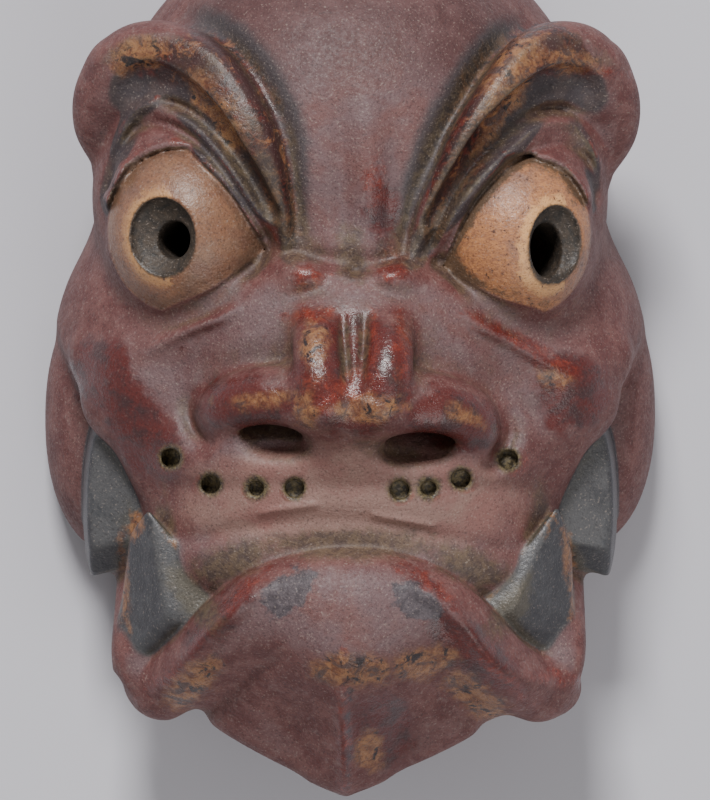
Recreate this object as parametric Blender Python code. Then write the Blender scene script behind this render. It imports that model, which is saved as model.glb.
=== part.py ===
import math

import bmesh
import bpy
import numpy as np
from mathutils import Matrix

# Driving sizes in metres
MASK_HEIGHT = 0.0460
MASK_WIDTH = 0.0324
MASK_DEPTH = 0.0217
WALL = 0.0030
BAR_WIDTH = 0.0034
BAR_THICKNESS = 0.0026
BAR_ABOVE_MIDDLE = 0.0015
LID_THICKNESS = 0.00045
LEFT_IRIS = (0.0037, 0.0042)
RIGHT_IRIS = (0.0034, 0.0042)
IRIS_DISH = 0.00080
LEFT_PUPIL_BORE = (0.0019, 0.0020)
RIGHT_PUPIL_BORE = (0.0020, 0.0028)
WHISKER_BORE = 0.0009
WHISKER_BORE_SMALL = 0.0007
WHISKER_DEPTH = 0.0012
LEFT_NOSTRIL = (0.0034, 0.0015)
RIGHT_NOSTRIL = (0.0038, 0.0018)
BASE_CUT = 0.0012

# The carving is set out in units of one forty-sixth of the height
UNIT = MASK_HEIGHT / 46
GRID = 0.30
REACH = 3.0
TRIANGLES = 8800
LACQUER = (0.17, 0.075, 0.065, 1.0)


# Shapes of the carving: each gives the distance of points to its surface, less than zero inside


def local(p, low, high, shape):
    """Values of a shape for the points near its box, and its reach for all others."""
    near = np.all((p > low - REACH) & (p < high + REACH), axis=1)
    out = np.full(len(p), REACH, p.dtype)
    if near.any():
        out[near] = np.minimum(shape(p[near]), REACH)
    return out


def ball(p, centre, radii, turn=(0, 0, 0), power=2.0):
    """An ellipsoid turned by degrees about x, y and z; a higher power makes it squarer."""
    centre = np.asarray(centre, p.dtype)
    radii = np.asarray(radii, p.dtype)

    def shape(p):
        q = p - centre
        for (a, b), degrees in (((0, 1), turn[2]), ((2, 0), turn[1]), ((1, 2), turn[0])):
            if degrees:
                c = math.cos(math.radians(degrees))
                s = math.sin(math.radians(degrees))
                q[:, a], q[:, b] = c * q[:, a] + s * q[:, b], c * q[:, b] - s * q[:, a]
        q = np.abs(q) / radii + 1e-6
        size = (q ** power).sum(1) ** (1 / power)
        slope = (q / size[:, None]) ** (power - 1) / radii
        return (size - 1) / np.sqrt((slope * slope).sum(1))

    most = radii.max() if any(turn) else radii
    return local(p, centre - most, centre + most, shape)


def curve(rows):
    """Cubic pieces of a smooth path through every row."""
    ends = np.vstack([2 * rows[0] - rows[1], rows, 2 * rows[-1] - rows[-2]])
    return np.array([(b, (c - a) / 2, a - 2.5 * b + 2 * c - d / 2, (3 * b - a - 3 * c + d) / 2)
                     for a, b, c, d in zip(ends, ends[1:], ends[2:], ends[3:])])


def on_curve(pieces, where):
    """Point, first and second slope of a path at each place along it."""
    i = np.clip(where.astype(int), 0, len(pieces) - 1)
    t = (where - i)[:, None]
    k = pieces[i]
    point = k[:, 0] + t * (k[:, 1] + t * (k[:, 2] + t * k[:, 3]))
    return point, k[:, 1] + t * (2 * k[:, 2] + 3 * t * k[:, 3]), 2 * k[:, 2] + 6 * t * k[:, 3]


def nearest(q, rows, axes, steps=4):
    """The row and the slope of a smooth path at the place nearest to each point."""
    pieces = curve(rows)
    last = len(pieces) - 1e-6
    places = np.minimum(np.arange(len(pieces) * steps + 1) / steps, last)
    knots = on_curve(pieces, places)[0][:, :axes]
    best = np.full(len(q), np.inf)
    where = np.zeros(len(q))
    for i, (a, b) in enumerate(zip(knots, knots[1:])):
        along = b - a
        t = np.clip((q - a) @ along / (along @ along), 0, 1)
        gap = ((q - a - t[:, None] * along) ** 2).sum(1)
        closer = gap < best
        best[closer] = gap[closer]
        where[closer] = (i + t[closer]) / steps
    for _ in range(2):
        point, slope, bow = [v[:, :axes] for v in on_curve(pieces, where)]
        gap = point - q
        bend = (slope * slope).sum(1) + (gap * bow).sum(1)
        shift = (gap * slope).sum(1) / np.where(bend > 1e-3, bend, 1e9)
        where = np.clip(where - np.clip(shift, -0.2, 0.2), 0, last)
    point, slope, _ = on_curve(pieces, where)
    return point, slope


def rod(p, rows):
    """A smooth round stroke through rows of (x, y, z, radius)."""
    rows = np.asarray(rows, np.float64)

    def shape(p):
        point, _ = nearest(p.astype(np.float64), rows, 3)
        return (np.linalg.norm(p - point[:, :3], axis=1) - point[:, 3]).astype(p.dtype)

    most = rows[:, 3].max()
    return local(p, rows[:, :3].min(0) - most, rows[:, :3].max(0) + most, shape)


def strip(p, rows, power=3.0):
    """A flat-topped band over a path in plan, rows of (x, y, z, half width, half height, lean)."""
    rows = np.asarray(rows, np.float64)

    def shape(p):
        q = p.astype(np.float64)
        point, slope = nearest(q[:, :2], rows, 2)
        off = q[:, :2] - point[:, :2]
        plan = np.linalg.norm(off, axis=1)
        left = np.sign(slope[:, 0] * off[:, 1] - slope[:, 1] * off[:, 0]) * plan
        rise = np.abs(q[:, 2] - point[:, 2] - point[:, 5] * left)
        size = ((plan / point[:, 3]) ** power + (rise / point[:, 4]) ** power + 1e-9) ** (1 / power)
        return ((size - 1) * np.minimum(point[:, 3], point[:, 4])).astype(p.dtype)

    most = rows[:, 3:5].max()
    return local(p, rows[:, :3].min(0) - most, rows[:, :3].max(0) + most, shape)


def stroke(p, rows):
    """Height of a soft stroke along a path in plan, rows of (x, y, half width, height)."""
    rows = np.asarray(rows, np.float64)
    most = 2.2 * rows[:, 2].max()
    low, high = rows[:, :2].min(0) - most, rows[:, :2].max(0) + most
    ok = (p[:, 0] > low[0]) & (p[:, 0] < high[0]) & (p[:, 1] > low[1]) & (p[:, 1] < high[1]) & (p[:, 2] > 6)
    out = np.zeros(len(p), p.dtype)
    if ok.any():
        q = p[ok][:, :2].astype(np.float64)
        point, _ = nearest(q, rows, 2)
        far = ((q - point[:, :2]) ** 2).sum(1) / point[:, 2] ** 2
        out[ok] = point[:, 3] * np.exp(-far) * np.clip(p[ok][:, 2] / 3 - 2, 0, 1)
    return out


def side(p, point, normal):
    """The half-space behind a plane whose normal points out of it."""
    n = np.asarray(normal, p.dtype)
    return (p - np.asarray(point, p.dtype)) @ (n / np.linalg.norm(n))


def facet(p, a, b, c, inside):
    """The half-space behind the plane through a, b and c, on the side of a point inside."""
    a, b, c, inside = [np.asarray(v, np.float64) for v in (a, b, c, inside)]
    n = np.cross(b - a, c - a)
    return side(p, a, n if (inside - a) @ n < 0 else -n)


def teardrop(p, centre, radius, tip, narrow=0.82):
    """A disc in plan, narrowed across and drawn out to a tip, with slightly full sides."""
    shrink = np.asarray((1 / narrow, 1), p.dtype)
    along = (np.asarray(tip, p.dtype) - centre) * shrink
    q = (p[:, :2] - np.asarray(centre, p.dtype)) * shrink
    share = np.clip(q @ along / (along @ along), 0, 1)
    swell = 0.35 * np.sin(np.pi * share) ** 2
    return np.linalg.norm(q - share[:, None] * along, axis=1) - radius * (1 - share) - 0.1 - swell


def rise(v, low, high):
    """Zero below low and one above high, with an easy slope between."""
    t = np.clip((v - low) / (high - low), 0, 1)
    return t * t * (3 - 2 * t)


def join(a, b, fillet):
    """Two shapes together, with a rounded inner corner."""
    h = np.maximum(fillet - np.abs(a - b), 0) / fillet
    return np.minimum(a, b) - h * h * fillet / 4


def keep(a, b, fillet):
    """What two shapes have in common, with a rounded edge."""
    return -join(-a, -b, fillet)


def cut(a, b, fillet):
    """The first shape without the second."""
    return -join(-a, b, fillet)


# The two sides of the face, x negative first; the carver made them slightly unlike

EYES = [
    dict(centre=(-8.4, 7.15, 12.5), radii=(4.35, 5.0, 4.7), window=(-9.15, 7.05), size=4.2, tip=(-4.5, 6.0),
         up=(0.228, 0.973), iris=(-9.85, 6.6, 16.45), across=LEFT_IRIS, tilt=-25, pupil=(-9.3, 6.5, 16.2),
         lean=-16, bore=LEFT_PUPIL_BORE),
    dict(centre=(8.6, 6.85, 12.5), radii=(4.25, 4.9, 4.7), window=(9.2, 6.7), size=4.05, tip=(4.95, 5.1),
         up=(-0.366, 0.931), iris=(10.85, 6.2, 16.2), across=RIGHT_IRIS, tilt=38, pupil=(10.25, 5.95, 15.8),
         lean=20, bore=RIGHT_PUPIL_BORE)]
BROWS = [
    [(-3.1, 6.4, 15.2, 0.4, 1.2, 0.0), (-3.5, 8.0, 15.2, 0.75, 1.9, 0.0),
     (-4.2, 10.1, 15.2, 1.1, 2.4, 0.0), (-5.3, 12.5, 15.0, 1.5, 2.8, 0.0),
     (-7.25, 15.3, 13.9, 1.65, 2.9, -0.1), (-9.3, 16.4, 12.7, 1.5, 2.8, -0.2),
     (-11.0, 16.6, 11.6, 1.25, 2.6, -0.3), (-12.4, 16.1, 10.7, 0.9, 2.3, -0.3)],
    [(3.2, 5.9, 15.0, 0.4, 1.2, 0.0), (4.0, 7.8, 15.1, 0.7, 1.9, 0.0), (4.9, 9.65, 15.2, 0.95, 2.3, 0.0),
     (5.8, 11.3, 15.1, 1.2, 2.6, 0.0), (7.05, 13.2, 14.8, 1.35, 2.8, 0.0),
     (8.5, 14.9, 14.0, 1.5, 2.9, 0.1), (9.9, 16.1, 13.0, 1.5, 2.8, 0.2),
     (11.9, 16.6, 11.6, 1.25, 2.6, 0.3), (13.2, 16.0, 10.7, 0.9, 2.3, 0.3)]]
BROW_ENDS = [
    [(-6.6, 14.0, 14.4, 1.0), (-8.6, 15.5, 13.4, 1.8), (-10.7, 15.7, 12.2, 2.2),
     (-12.3, 14.6, 10.8, 2.1), (-12.9, 12.8, 9.8, 1.7), (-12.5, 10.8, 9.2, 1.1)],
    [(7.6, 14.0, 14.3, 1.0), (9.6, 15.5, 13.3, 1.9), (11.4, 15.7, 12.1, 2.2),
     (12.9, 14.5, 10.7, 2.2), (13.4, 12.6, 9.7, 1.8), (12.7, 10.4, 9.1, 1.2)]]
TROUGHS = [
    [(-13.3, 9.0, 12.9, 1.1), (-12.8, 12.0, 13.9, 1.3), (-11.1, 14.6, 14.8, 1.35), (-9.3, 14.2, 15.8, 1.2),
     (-7.5, 12.2, 16.7, 1.35), (-5.9, 10.0, 17.0, 1.1), (-4.4, 7.9, 16.8, 0.65)],
    [(13.6, 9.0, 12.9, 1.1), (13.7, 11.6, 13.7, 1.3), (12.2, 14.3, 14.6, 1.4), (10.2, 14.1, 15.6, 1.3),
     (8.1, 12.0, 16.7, 1.5), (6.3, 9.7, 17.0, 1.15), (4.6, 7.4, 16.8, 0.65)]]
CHEEK_RIDGES = [
    [(-13.3, 0.5, 9.0, 1.4), (-11.2, 0.5, 11.4, 1.3), (-8.9, 1.0, 13.2, 1.15), (-7.2, 1.8, 14.2, 1.0),
     (-5.2, 3.1, 15.0, 0.8), (-3.4, 4.5, 15.3, 0.5)],
    [(13.4, 0.4, 9.0, 1.4), (11.1, -0.1, 11.5, 1.3), (9.4, 0.3, 12.9, 1.15), (7.6, 1.2, 14.0, 1.0),
     (5.3, 2.8, 15.0, 0.8), (3.4, 4.1, 15.4, 0.5)]]
NASAL_FOLDS = [
    [(-4.6, 0.2, 18.0, 0.6), (-6.3, -0.1, 17.2, 0.8), (-8.2, -0.9, 16.2, 0.8),
     (-8.9, -2.6, 15.7, 0.7), (-8.3, -4.3, 16.0, 0.5)],
    [(4.8, 0.0, 18.0, 0.6), (6.4, -0.5, 17.2, 0.8), (8.1, -1.7, 16.2, 0.8),
     (8.6, -3.4, 15.7, 0.7), (7.9, -5.3, 16.0, 0.5)]]
WINGS = [
    [(-6.9, -2.9, 15.2, 1.4), (-5.9, -2.3, 16.6, 1.6), (-4.3, -1.9, 17.7, 1.65), (-2.4, -2.0, 18.2, 1.8)],
    [(6.0, -4.3, 15.0, 1.4), (6.1, -3.2, 16.2, 1.7), (4.5, -2.5, 17.7, 1.8), (2.6, -2.4, 18.2, 1.8)]]
NOSTRILS = [
    dict(centre=(-4.1, -3.4, 16.9), mouth=LEFT_NOSTRIL, turn=4),
    dict(centre=(3.65, -3.7, 17.0), mouth=RIGHT_NOSTRIL, turn=-9)]
TUSKS = [
    dict(tip=(-10.6, -7.8, 13.8), edge=(-11.6, -8.9, 12.6), ridge=(-9.7, -13.6, 14.0),
         low=(-12.2, -13.9, 10.2), inner=(-8.0, -11.0, 14.1), foot=(-9.9, -14.3, 13.3)),
    dict(tip=(10.9, -7.6, 13.8), edge=(11.7, -9.7, 12.2), ridge=(9.0, -12.2, 14.4),
         low=(11.8, -13.4, 10.2), inner=(8.3, -11.1, 14.1), foot=(9.9, -14.1, 13.1))]
LOWER_LIP = [
    (-10.4, -17.2, 8.6, 1.5), (-9.2, -16.9, 10.4, 1.8), (-7.6, -15.8, 12.8, 1.95),
    (-6.0, -14.3, 14.6, 2.1), (-4.2, -13.1, 15.7, 2.3), (-2.0, -12.6, 16.2, 2.5), (0, -12.5, 16.3, 2.6),
    (2.0, -12.6, 16.2, 2.5), (4.2, -13.3, 15.7, 2.3), (6.0, -14.7, 14.6, 2.1), (7.8, -16.4, 12.7, 1.95),
    (9.4, -17.2, 10.3, 1.8), (10.7, -17.4, 8.6, 1.5)]
# Lines carved in low relief: paths in plan with rows of (x, y, half width, height), below zero for grooves
RELIEF = {
    "folds over the eyes": [
        [(-12.1, 9.6, 0.4, 0.15), (-12.1, 11.8, 0.42, 0.4), (-11.6, 13.1, 0.45, 0.5),
         (-10.4, 13.6, 0.45, 0.45), (-8.6, 12.8, 0.45, 0.5), (-6.9, 11.2, 0.42, 0.5),
         (-5.6, 9.3, 0.4, 0.5), (-4.4, 7.3, 0.35, 0.3), (-3.7, 6.2, 0.3, 0.1)],
        [(12.9, 9.6, 0.45, 0.2), (13.0, 11.2, 0.5, 0.4), (11.9, 12.7, 0.5, 0.45), (10.1, 12.6, 0.5, 0.5),
         (8.0, 11.0, 0.5, 0.5), (6.2, 9.0, 0.45, 0.45), (4.9, 7.0, 0.4, 0.35), (4.1, 5.4, 0.3, 0.1)]],
    "grooves between fold and lid": [
        [(-12.7, 9.4, 0.3, -0.15), (-12.3, 11.0, 0.3, -0.26), (-11.2, 12.4, 0.32, -0.26),
         (-9.7, 12.6, 0.32, -0.26), (-8.0, 11.7, 0.32, -0.26), (-6.5, 10.0, 0.3, -0.26),
         (-5.4, 8.3, 0.28, -0.26), (-4.4, 6.7, 0.25, -0.2)],
        [(12.9, 8.6, 0.28, -0.15), (12.7, 10.4, 0.3, -0.26), (11.4, 11.5, 0.32, -0.26),
         (9.8, 11.3, 0.32, -0.26), (8.0, 10.1, 0.32, -0.26), (6.4, 8.4, 0.3, -0.26),
         (5.3, 6.6, 0.28, -0.26),
         (4.5, 5.2, 0.25, -0.15)]], "grooves along the brows": [ [(-3.0, 6.2, 0.35, -0.1),
         (-2.8, 8.3, 0.45, -0.25), (-3.3, 11.9, 0.55, -0.35), (-4.1, 14.0, 0.6, -0.35),
         (-5.2, 15.8, 0.6, -0.35), (-6.8, 17.6, 0.6, -0.3), (-8.6, 18.6, 0.6, -0.15)],
        [(2.8, 5.9, 0.35, -0.1), (3.2, 8.6, 0.45, -0.25), (4.1, 10.7, 0.55, -0.35),
         (4.9, 12.5, 0.6, -0.35), (5.8, 14.0, 0.6, -0.35), (6.7, 15.5, 0.6, -0.35),
         (7.9, 17.1, 0.6, -0.3),
         (9.2, 18.3, 0.6, -0.15)]], "furrows of the forehead": [ [(-0.6, 14.8, 0.6, 0),
         (-0.5, 11.5, 0.6, -0.24), (-0.4, 8.0, 0.55, -0.26), (-0.3, 6.0, 0.45, -0.08)],
        [(0.9, 15.4, 0.7, 0), (0.9, 12.4, 0.7, 0.2), (0.9, 9.0, 0.6, 0.2), (0.8, 7.0, 0.5, 0.05)],
        [(2.3, 14.0, 0.6, 0), (2.3, 10.8, 0.6, -0.22), (2.1, 8.0, 0.5, -0.2), (1.8, 6.3, 0.4, 0)],
        [(-2.9, 5.8, 0.5, -0.1), (-1.4, 5.5, 0.55, -0.35), (0.3, 5.3, 0.55, -0.4), (1.8, 5.4, 0.55, -0.35),
         (2.8, 5.6, 0.5, -0.1)]],
    "crests under the eyes": [
        [(-11.4, 0.2, 0.4, 0), (-9.5, 1.2, 0.36, 0.3), (-8.2, 1.8, 0.34, 0.35), (-6.9, 2.3, 0.34, 0.3),
         (-5.6, 3.0, 0.3, 0)],
        [(5.6, 2.7, 0.3, 0), (7.0, 1.8, 0.34, 0.35), (8.4, 1.1, 0.34, 0.35), (9.9, 0.2, 0.36, 0.3),
         (11.6, -0.6, 0.4, 0)]],
    "lines down the nose": [
        [(-0.35, 2.8, 0.25, 0), (-0.35, 1.5, 0.26, -0.22), (-0.2, -0.6, 0.26, -0.18),
         (-0.2, -1.5, 0.25, 0)],
        [(0.75, 2.8, 0.25, 0), (0.75, 1.5, 0.26, -0.22), (0.65, -0.4, 0.26, -0.16), (0.6, -1.3, 0.25, 0)]],
    "hollows round the wings": [
        [(-8.3, -1.2, 0.4, 0), (-8.5, -2.6, 0.45, -0.3), (-7.9, -3.9, 0.45, -0.4), (-6.7, -4.5, 0.4, 0)],
        [(6.7, -5.9, 0.4, 0), (7.6, -5.2, 0.45, -0.35), (8.4, -3.9, 0.45, -0.4), (8.2, -2.4, 0.45, 0)]],
    "steps in the upper lip": [
        [(-5.0, -8.1, 0.16, 0), (-4.4, -7.95, 0.18, 0.15), (-2.0, -7.6, 0.18, 0.15),
         (-1.5, -7.6, 0.16, 0)],
        [(1.0, -8.1, 0.16, 0), (1.5, -8.2, 0.18, 0.15), (4.0, -8.65, 0.18, 0.15), (4.6, -8.8, 0.16, 0)]],
    "edge under the upper lip": [
        [(-9.2, -9.4, 0.5, 0), (-7.8, -9.4, 0.5, -0.2), (-5.6, -8.9, 0.5, -0.22), (-3.2, -8.5, 0.5, -0.18),
         (0.0, -8.4, 0.5, -0.14), (3.0, -8.9, 0.5, -0.18), (5.6, -9.6, 0.5, -0.22),
         (7.8, -10.0, 0.5, -0.2),
         (9.2, -9.8, 0.5, 0)]], "crest of the lower lip": [ [(-10.2, -17.2, 0.6, 0.2),
         (-8.3, -15.5, 0.6, 0.6), (-7.2, -14.2, 0.6, 0.65), (-5.9, -13.1, 0.55, 0.55),
         (-4.9, -12.3, 0.5, 0.3), (-3.4, -11.6, 0.45, 0)],
        [(2.4, -11.7, 0.45, 0), (3.6, -12.1, 0.5, 0.3), (4.8, -12.7, 0.55, 0.55), (6.0, -13.9, 0.6, 0.65),
         (7.5, -15.9, 0.6, 0.6), (9.4, -17.0, 0.6, 0.35), (11.2, -17.3, 0.6, 0.1)]],
    "grooves under the lower lip": [
        [(-9.4, -19.2, 0.6, 0), (-7.6, -18.6, 0.6, -0.26), (-5.9, -17.0, 0.6, -0.26),
         (-4.2, -15.9, 0.5, -0.2), (-3.0, -15.6, 0.5, 0)],
        [(3.2, -17.0, 0.5, 0), (4.4, -17.5, 0.6, -0.2), (6.2, -18.9, 0.6, -0.26), (8.2, -19.6, 0.6, -0.2),
         (9.5, -19.8, 0.6, 0)]],
    "keel of the chin": [
        [(-0.55, -17.2, 0.35, 0), (-0.5, -18.2, 0.36, 0.28), (-0.35, -20.5, 0.36, 0.38),
         (-0.25, -22.6, 0.36, 0.25), (-0.2, -23.6, 0.3, 0)],
        [(-2.6, -17.4, 1.2, 0), (-3.2, -19.0, 1.3, -0.35), (-2.6, -20.8, 1.1, -0.3),
         (-1.8, -22.2, 0.9, 0)],
        [(2.2, -18.0, 1.2, 0), (2.9, -19.4, 1.3, -0.3), (2.4, -21.0, 1.1, -0.25), (1.6, -22.3, 0.9, 0)]]}
# Bristle holes in the upper lip: x, y, height of the lip there, and whether the hole is a small one
WHISKERS = [
    (-9.4, -5.1, 14.3, False), (-7.3, -6.5, 15.7, False), (-4.9, -6.7, 16.9, True),
    (-2.9, -6.7, 17.4, False), (2.6, -6.8, 17.4, False), (4.1, -6.7, 17.1, True),
    (5.8, -6.2, 16.8, False), (8.3, -5.2, 15.1, False)]
SIDES = ((0, -1), (1, 1))


# The pieces of the face


def core(p):
    """The head without its features, which is also the pattern for the hollow at the back."""
    head = ball(p, (0, 5.2, 1), (13.5, 17.8, 13.2), power=2.6)
    face = ball(p, (0, -3.0, 1), (13.0, 13.5, 13.0), power=2.5)
    jaw = ball(p, (0, -12.2, 2), (12.2, 7.6, 11.0), power=2.4)
    return join(join(head, face, 2.0), jaw, 1.5)


def brow_and_forehead(p):
    """Forehead and the root of the nose."""
    f = join(core(p), ball(p, (0, 12.2, 4.5), (10.5, 11.0, 12.8), power=2.3), 1.5)
    return join(f, ball(p, (0, 4.5, 6.0), (5.4, 9.0, 10.3), power=2.4), 1.5)


def upper_lip(p):
    """The full lip under the nose and the narrow band set back below it."""
    full = ball(p, (0, -4.6, 5.0), (11.0, 4.3, 13.0), power=2.8)
    band = ball(p, (0, -5.8, 5.0), (10.4, 5.5, 12.5), power=2.8)
    return join(join(full, band, 0.2), ball(p, (0, -9.4, 6.0), (10.9, 4.8, 10.5), power=3.0), 1.0)


def cheek(p, s, x):
    """Cheek with the ridge under the eye, the knob, and the slanting edge down to the mouth."""
    f = ball(p, (x * 3.0, -0.6, 3.0), (12.8, 11.6, 12.1), power=2.3)
    f = keep(f, side(p, (x * 12.3, -3.9, 0), (x * 0.87, -0.5, -0.05)), 0.6)
    f = join(f, rod(p, CHEEK_RIDGES[s]), 0.7)
    f = join(f, ball(p, (x * 11.0, -1.2, 10.0), (2.2, 2.2, 3.0)), 1.8)
    pad = [(x * 12.4, -2.4, 9.6, 1.5), (x * 10.6, -3.2, 11.5, 1.4), (x * 8.8, -4.4, 12.8, 1.1)]
    f = join(f, rod(p, pad), 1.0)
    slope = [(x * 2.4, 4.6, 13.6, 1.4), (x * 3.4, 2.2, 14.9, 1.9), (x * 4.6, -0.4, 15.2, 1.9)]
    return join(f, rod(p, slope), 3.0)


def nose(p):
    """Bridge, the two lumps that run to the tip, and the knots at the root."""
    bridge = rod(p, [(0.1, 5.6, 12.6, 2.6), (0.2, 2.6, 14.9, 2.9), (0.2, -1.8, 17.2, 3.1)])
    left = [(-1.7, 2.1, 17.2, 0.9), (-1.7, 0.9, 18.7, 1.15), (-1.6, -0.6, 19.5, 1.3), (-1.3, -2.1, 19.3, 1.7)]
    right = [(1.95, 2.1, 17.2, 0.9), (2.0, 0.9, 18.7, 1.15), (1.9, -0.6, 19.5, 1.3), (1.5, -2.1, 19.3, 1.7)]
    septum = rod(p, [(0.2, -2.4, 18.6, 1.5), (0.3, -3.6, 17.7, 1.1)])
    knots = ball(p, (-2.2, 4.6, 16.5), (0.8, 0.45, 0.8))
    knots = join(knots, ball(p, (2.1, 4.5, 16.8), (0.75, 0.5, 0.8)), 0.1)
    lumps = join(join(rod(p, left), rod(p, right), 0.7), septum, 0.8)
    return join(join(bridge, lumps, 0.8), knots, 0.5)


def globe(p, s, x):
    """The bulging eyeball, drawn out towards the corner beside the nose."""
    k = EYES[s]
    corner = rod(p, [(k["centre"][0], 6.8, 12.9, 3.6), (x * 5.6, 5.9, 13.1, 1.5)])
    return join(ball(p, k["centre"], k["radii"]), corner, 1.0)


def eye(p, f, s, x):
    """The lids, the eyeball in its opening, and the dished iris."""
    k = EYES[s]
    bulge = globe(p, s, x)
    window = teardrop(p, k["window"], k["size"], k["tip"])
    above = (p[:, :2] - np.asarray(k["tip"], p.dtype)) @ np.asarray(k["up"], p.dtype)
    thick = LID_THICKNESS / UNIT * (1.35 * np.clip((above + 0.5) / 1.2, 0, 1) - 0.35)
    f = join(f, bulge - thick * rise(window, 0, 0.35), 0.3 + 1.3 * rise(-above, 0.3, 2.6))
    f = cut(f, np.maximum(np.maximum(window, -bulge), 13.2 - p[:, 2]), 0.12)
    wide, high = [size / UNIT / 2 for size in k["across"]]
    return cut(f, ball(p, k["iris"], (wide, high, IRIS_DISH / UNIT), (0, k["tilt"], 0)), 0.1)


def upper_tusk(p, x):
    """A thick blade that comes down from under the edge of the cheek."""
    f = ball(p, (x * 10.1, -7.4, 4.6), (4.05, 6.9, 8.5), power=2.6)
    f = keep(f, side(p, (x * 13.0, -11.3, 4.0), (x * -0.28, -0.95, 0.0)), 0.2)
    f = keep(f, side(p, (x * 13.0, -9.8, 9.3), (x * 0.1, -0.75, 0.65)), 0.2)
    f = keep(f, side(p, (x * 13.9, -8.0, 9.0), (x * 0.36, -0.05, 0.93)), 0.25)
    return keep(f, side(p, (x * 13.6, -8.0, 3.4), (x * 0.5, -0.3, -0.8)), 1.0)


def lower_tusk(p, s, x):
    """A faceted tusk that points up at the corner of the mouth."""
    k = TUSKS[s]
    heart = (x * 10.3, -11.5, 10.0)
    f = facet(p, k["tip"], k["ridge"], k["inner"], heart)
    f = keep(f, facet(p, k["tip"], k["ridge"], k["low"], heart), 0.25)
    f = keep(f, facet(p, k["edge"], k["low"], (x * 11.6, -12.0, 6.0), heart), 0.3)
    f = keep(f, facet(p, k["tip"], k["edge"], (x * 10.8, -9.5, 9.0), heart), 0.2)
    f = keep(f, facet(p, k["tip"], k["inner"], (x * 8.6, -10.8, 8.0), heart), 0.2)
    f = keep(f, side(p, k["foot"], (x * 0.1, -0.80, 0.60)), 0.5)
    return keep(f, keep(side(p, (0, 0, 6.0), (0, 0, -1)), side(p, (0, -16.5, 0), (0, -1, 0)), 0.2), 0.2)


def chin(p):
    """The prow of the chin, with a ridge down its middle."""
    top = (-0.4, -16.9, 17.6)
    low = (-0.25, -23.0, 8.5)
    front = keep(side(p, top, (-0.40, -0.60, 0.69)), side(p, top, (0.38, -0.61, 0.69)), 0.3)
    wall = keep(side(p, low, (-0.48, -0.85, -0.2)), side(p, low, (0.44, -0.87, -0.2)), 0.6)
    f = ball(p, (0, -15.6, 2.0), (9.6, 8.6, 16.4), power=2.3)
    return keep(keep(f, front, 0.8), wall, 0.8)


def lower_lip(p):
    """The heavy roll of the lip, full in the middle."""
    return join(rod(p, LOWER_LIP), ball(p, (0.2, -14.4, 9.5), (5.8, 4.4, 9.2), power=2.2), 1.4)


def brow(p, s):
    """The raised brow and its swollen outer end."""
    return join(strip(p, BROWS[s]), rod(p, BROW_ENDS[s]), 1.2)


def mask(p):
    """The whole carving, hollowed at the back and with the cord bar across the hollow."""
    f = join(brow_and_forehead(p), upper_lip(p), 1.0)
    for s, x in SIDES:
        f = join(f, cheek(p, s, x), 1.2)
        f = join(f, ball(p, (x * 12.1, -3.0 + 0.4 * s, 2.0), (4.1, 7.4, 5.2), power=2.2), 0.5)
    f = join(f, nose(p), 2.2)
    for s, x in SIDES:
        f = join(f, ball(p, (x * 8.6, 8.9, 8.8), (5.0, 6.6, 7.0)), 1.2)
        f = cut(f, rod(p, NASAL_FOLDS[s]), 0.9)
    for s, x in SIDES:
        f = join(f, rod(p, WINGS[s]), 0.7)
        f = join(f, brow(p, s), 0.5)
        f = cut(f, rod(p, TROUGHS[s]), 0.35)
        f = eye(p, f, s, x)
    f = join(f, join(lower_lip(p), chin(p), 0.9), 0.35)
    for s, x in SIDES:
        f = join(f, upper_tusk(p, x), 0.15)
        f = join(f, lower_tusk(p, s, x), 0.35)
        cup = [(x * 11.0, -11.0, 6.0, 1.3), (x * 11.3, -13.8, 8.6, 1.1), (x * 11.1, -16.0, 9.9, 1.25),
               (x * 9.9, -17.4, 9.6, 1.7)]
        f = join(f, rod(p, cup), 0.8)
        k = NOSTRILS[s]
        size = (k["mouth"][0] / UNIT / 2, k["mouth"][1] / UNIT / 2, 2.5)
        dish = (k["centre"][0], k["centre"][1] - 0.9, k["centre"][2] + 1.3)
        f = cut(f, ball(p, dish, (size[0] * 1.05, 0.8, 1.6)), 0.8)
        f = cut(f, ball(p, k["centre"], size, (46, 0, k["turn"])), 0.2)
    for paths in RELIEF.values():
        for path in paths:
            f = f - stroke(p, path)
    f = cut(f, ball(p, (0.3, 5.0, 17.0), (0.5, 0.35, 0.6)), 0.4)
    f = cut(f, core(p) + WALL / UNIT, 0.4)
    middle = BAR_ABOVE_MIDDLE / UNIT
    tall = np.maximum(np.abs(p[:, 1] - middle) - BAR_WIDTH / UNIT / 2, p[:, 2] - BAR_THICKNESS / UNIT)
    return join(f, np.maximum(tall, np.abs(p[:, 0]) - 12.0), 0.5)


# From the carving to a mesh


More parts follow.
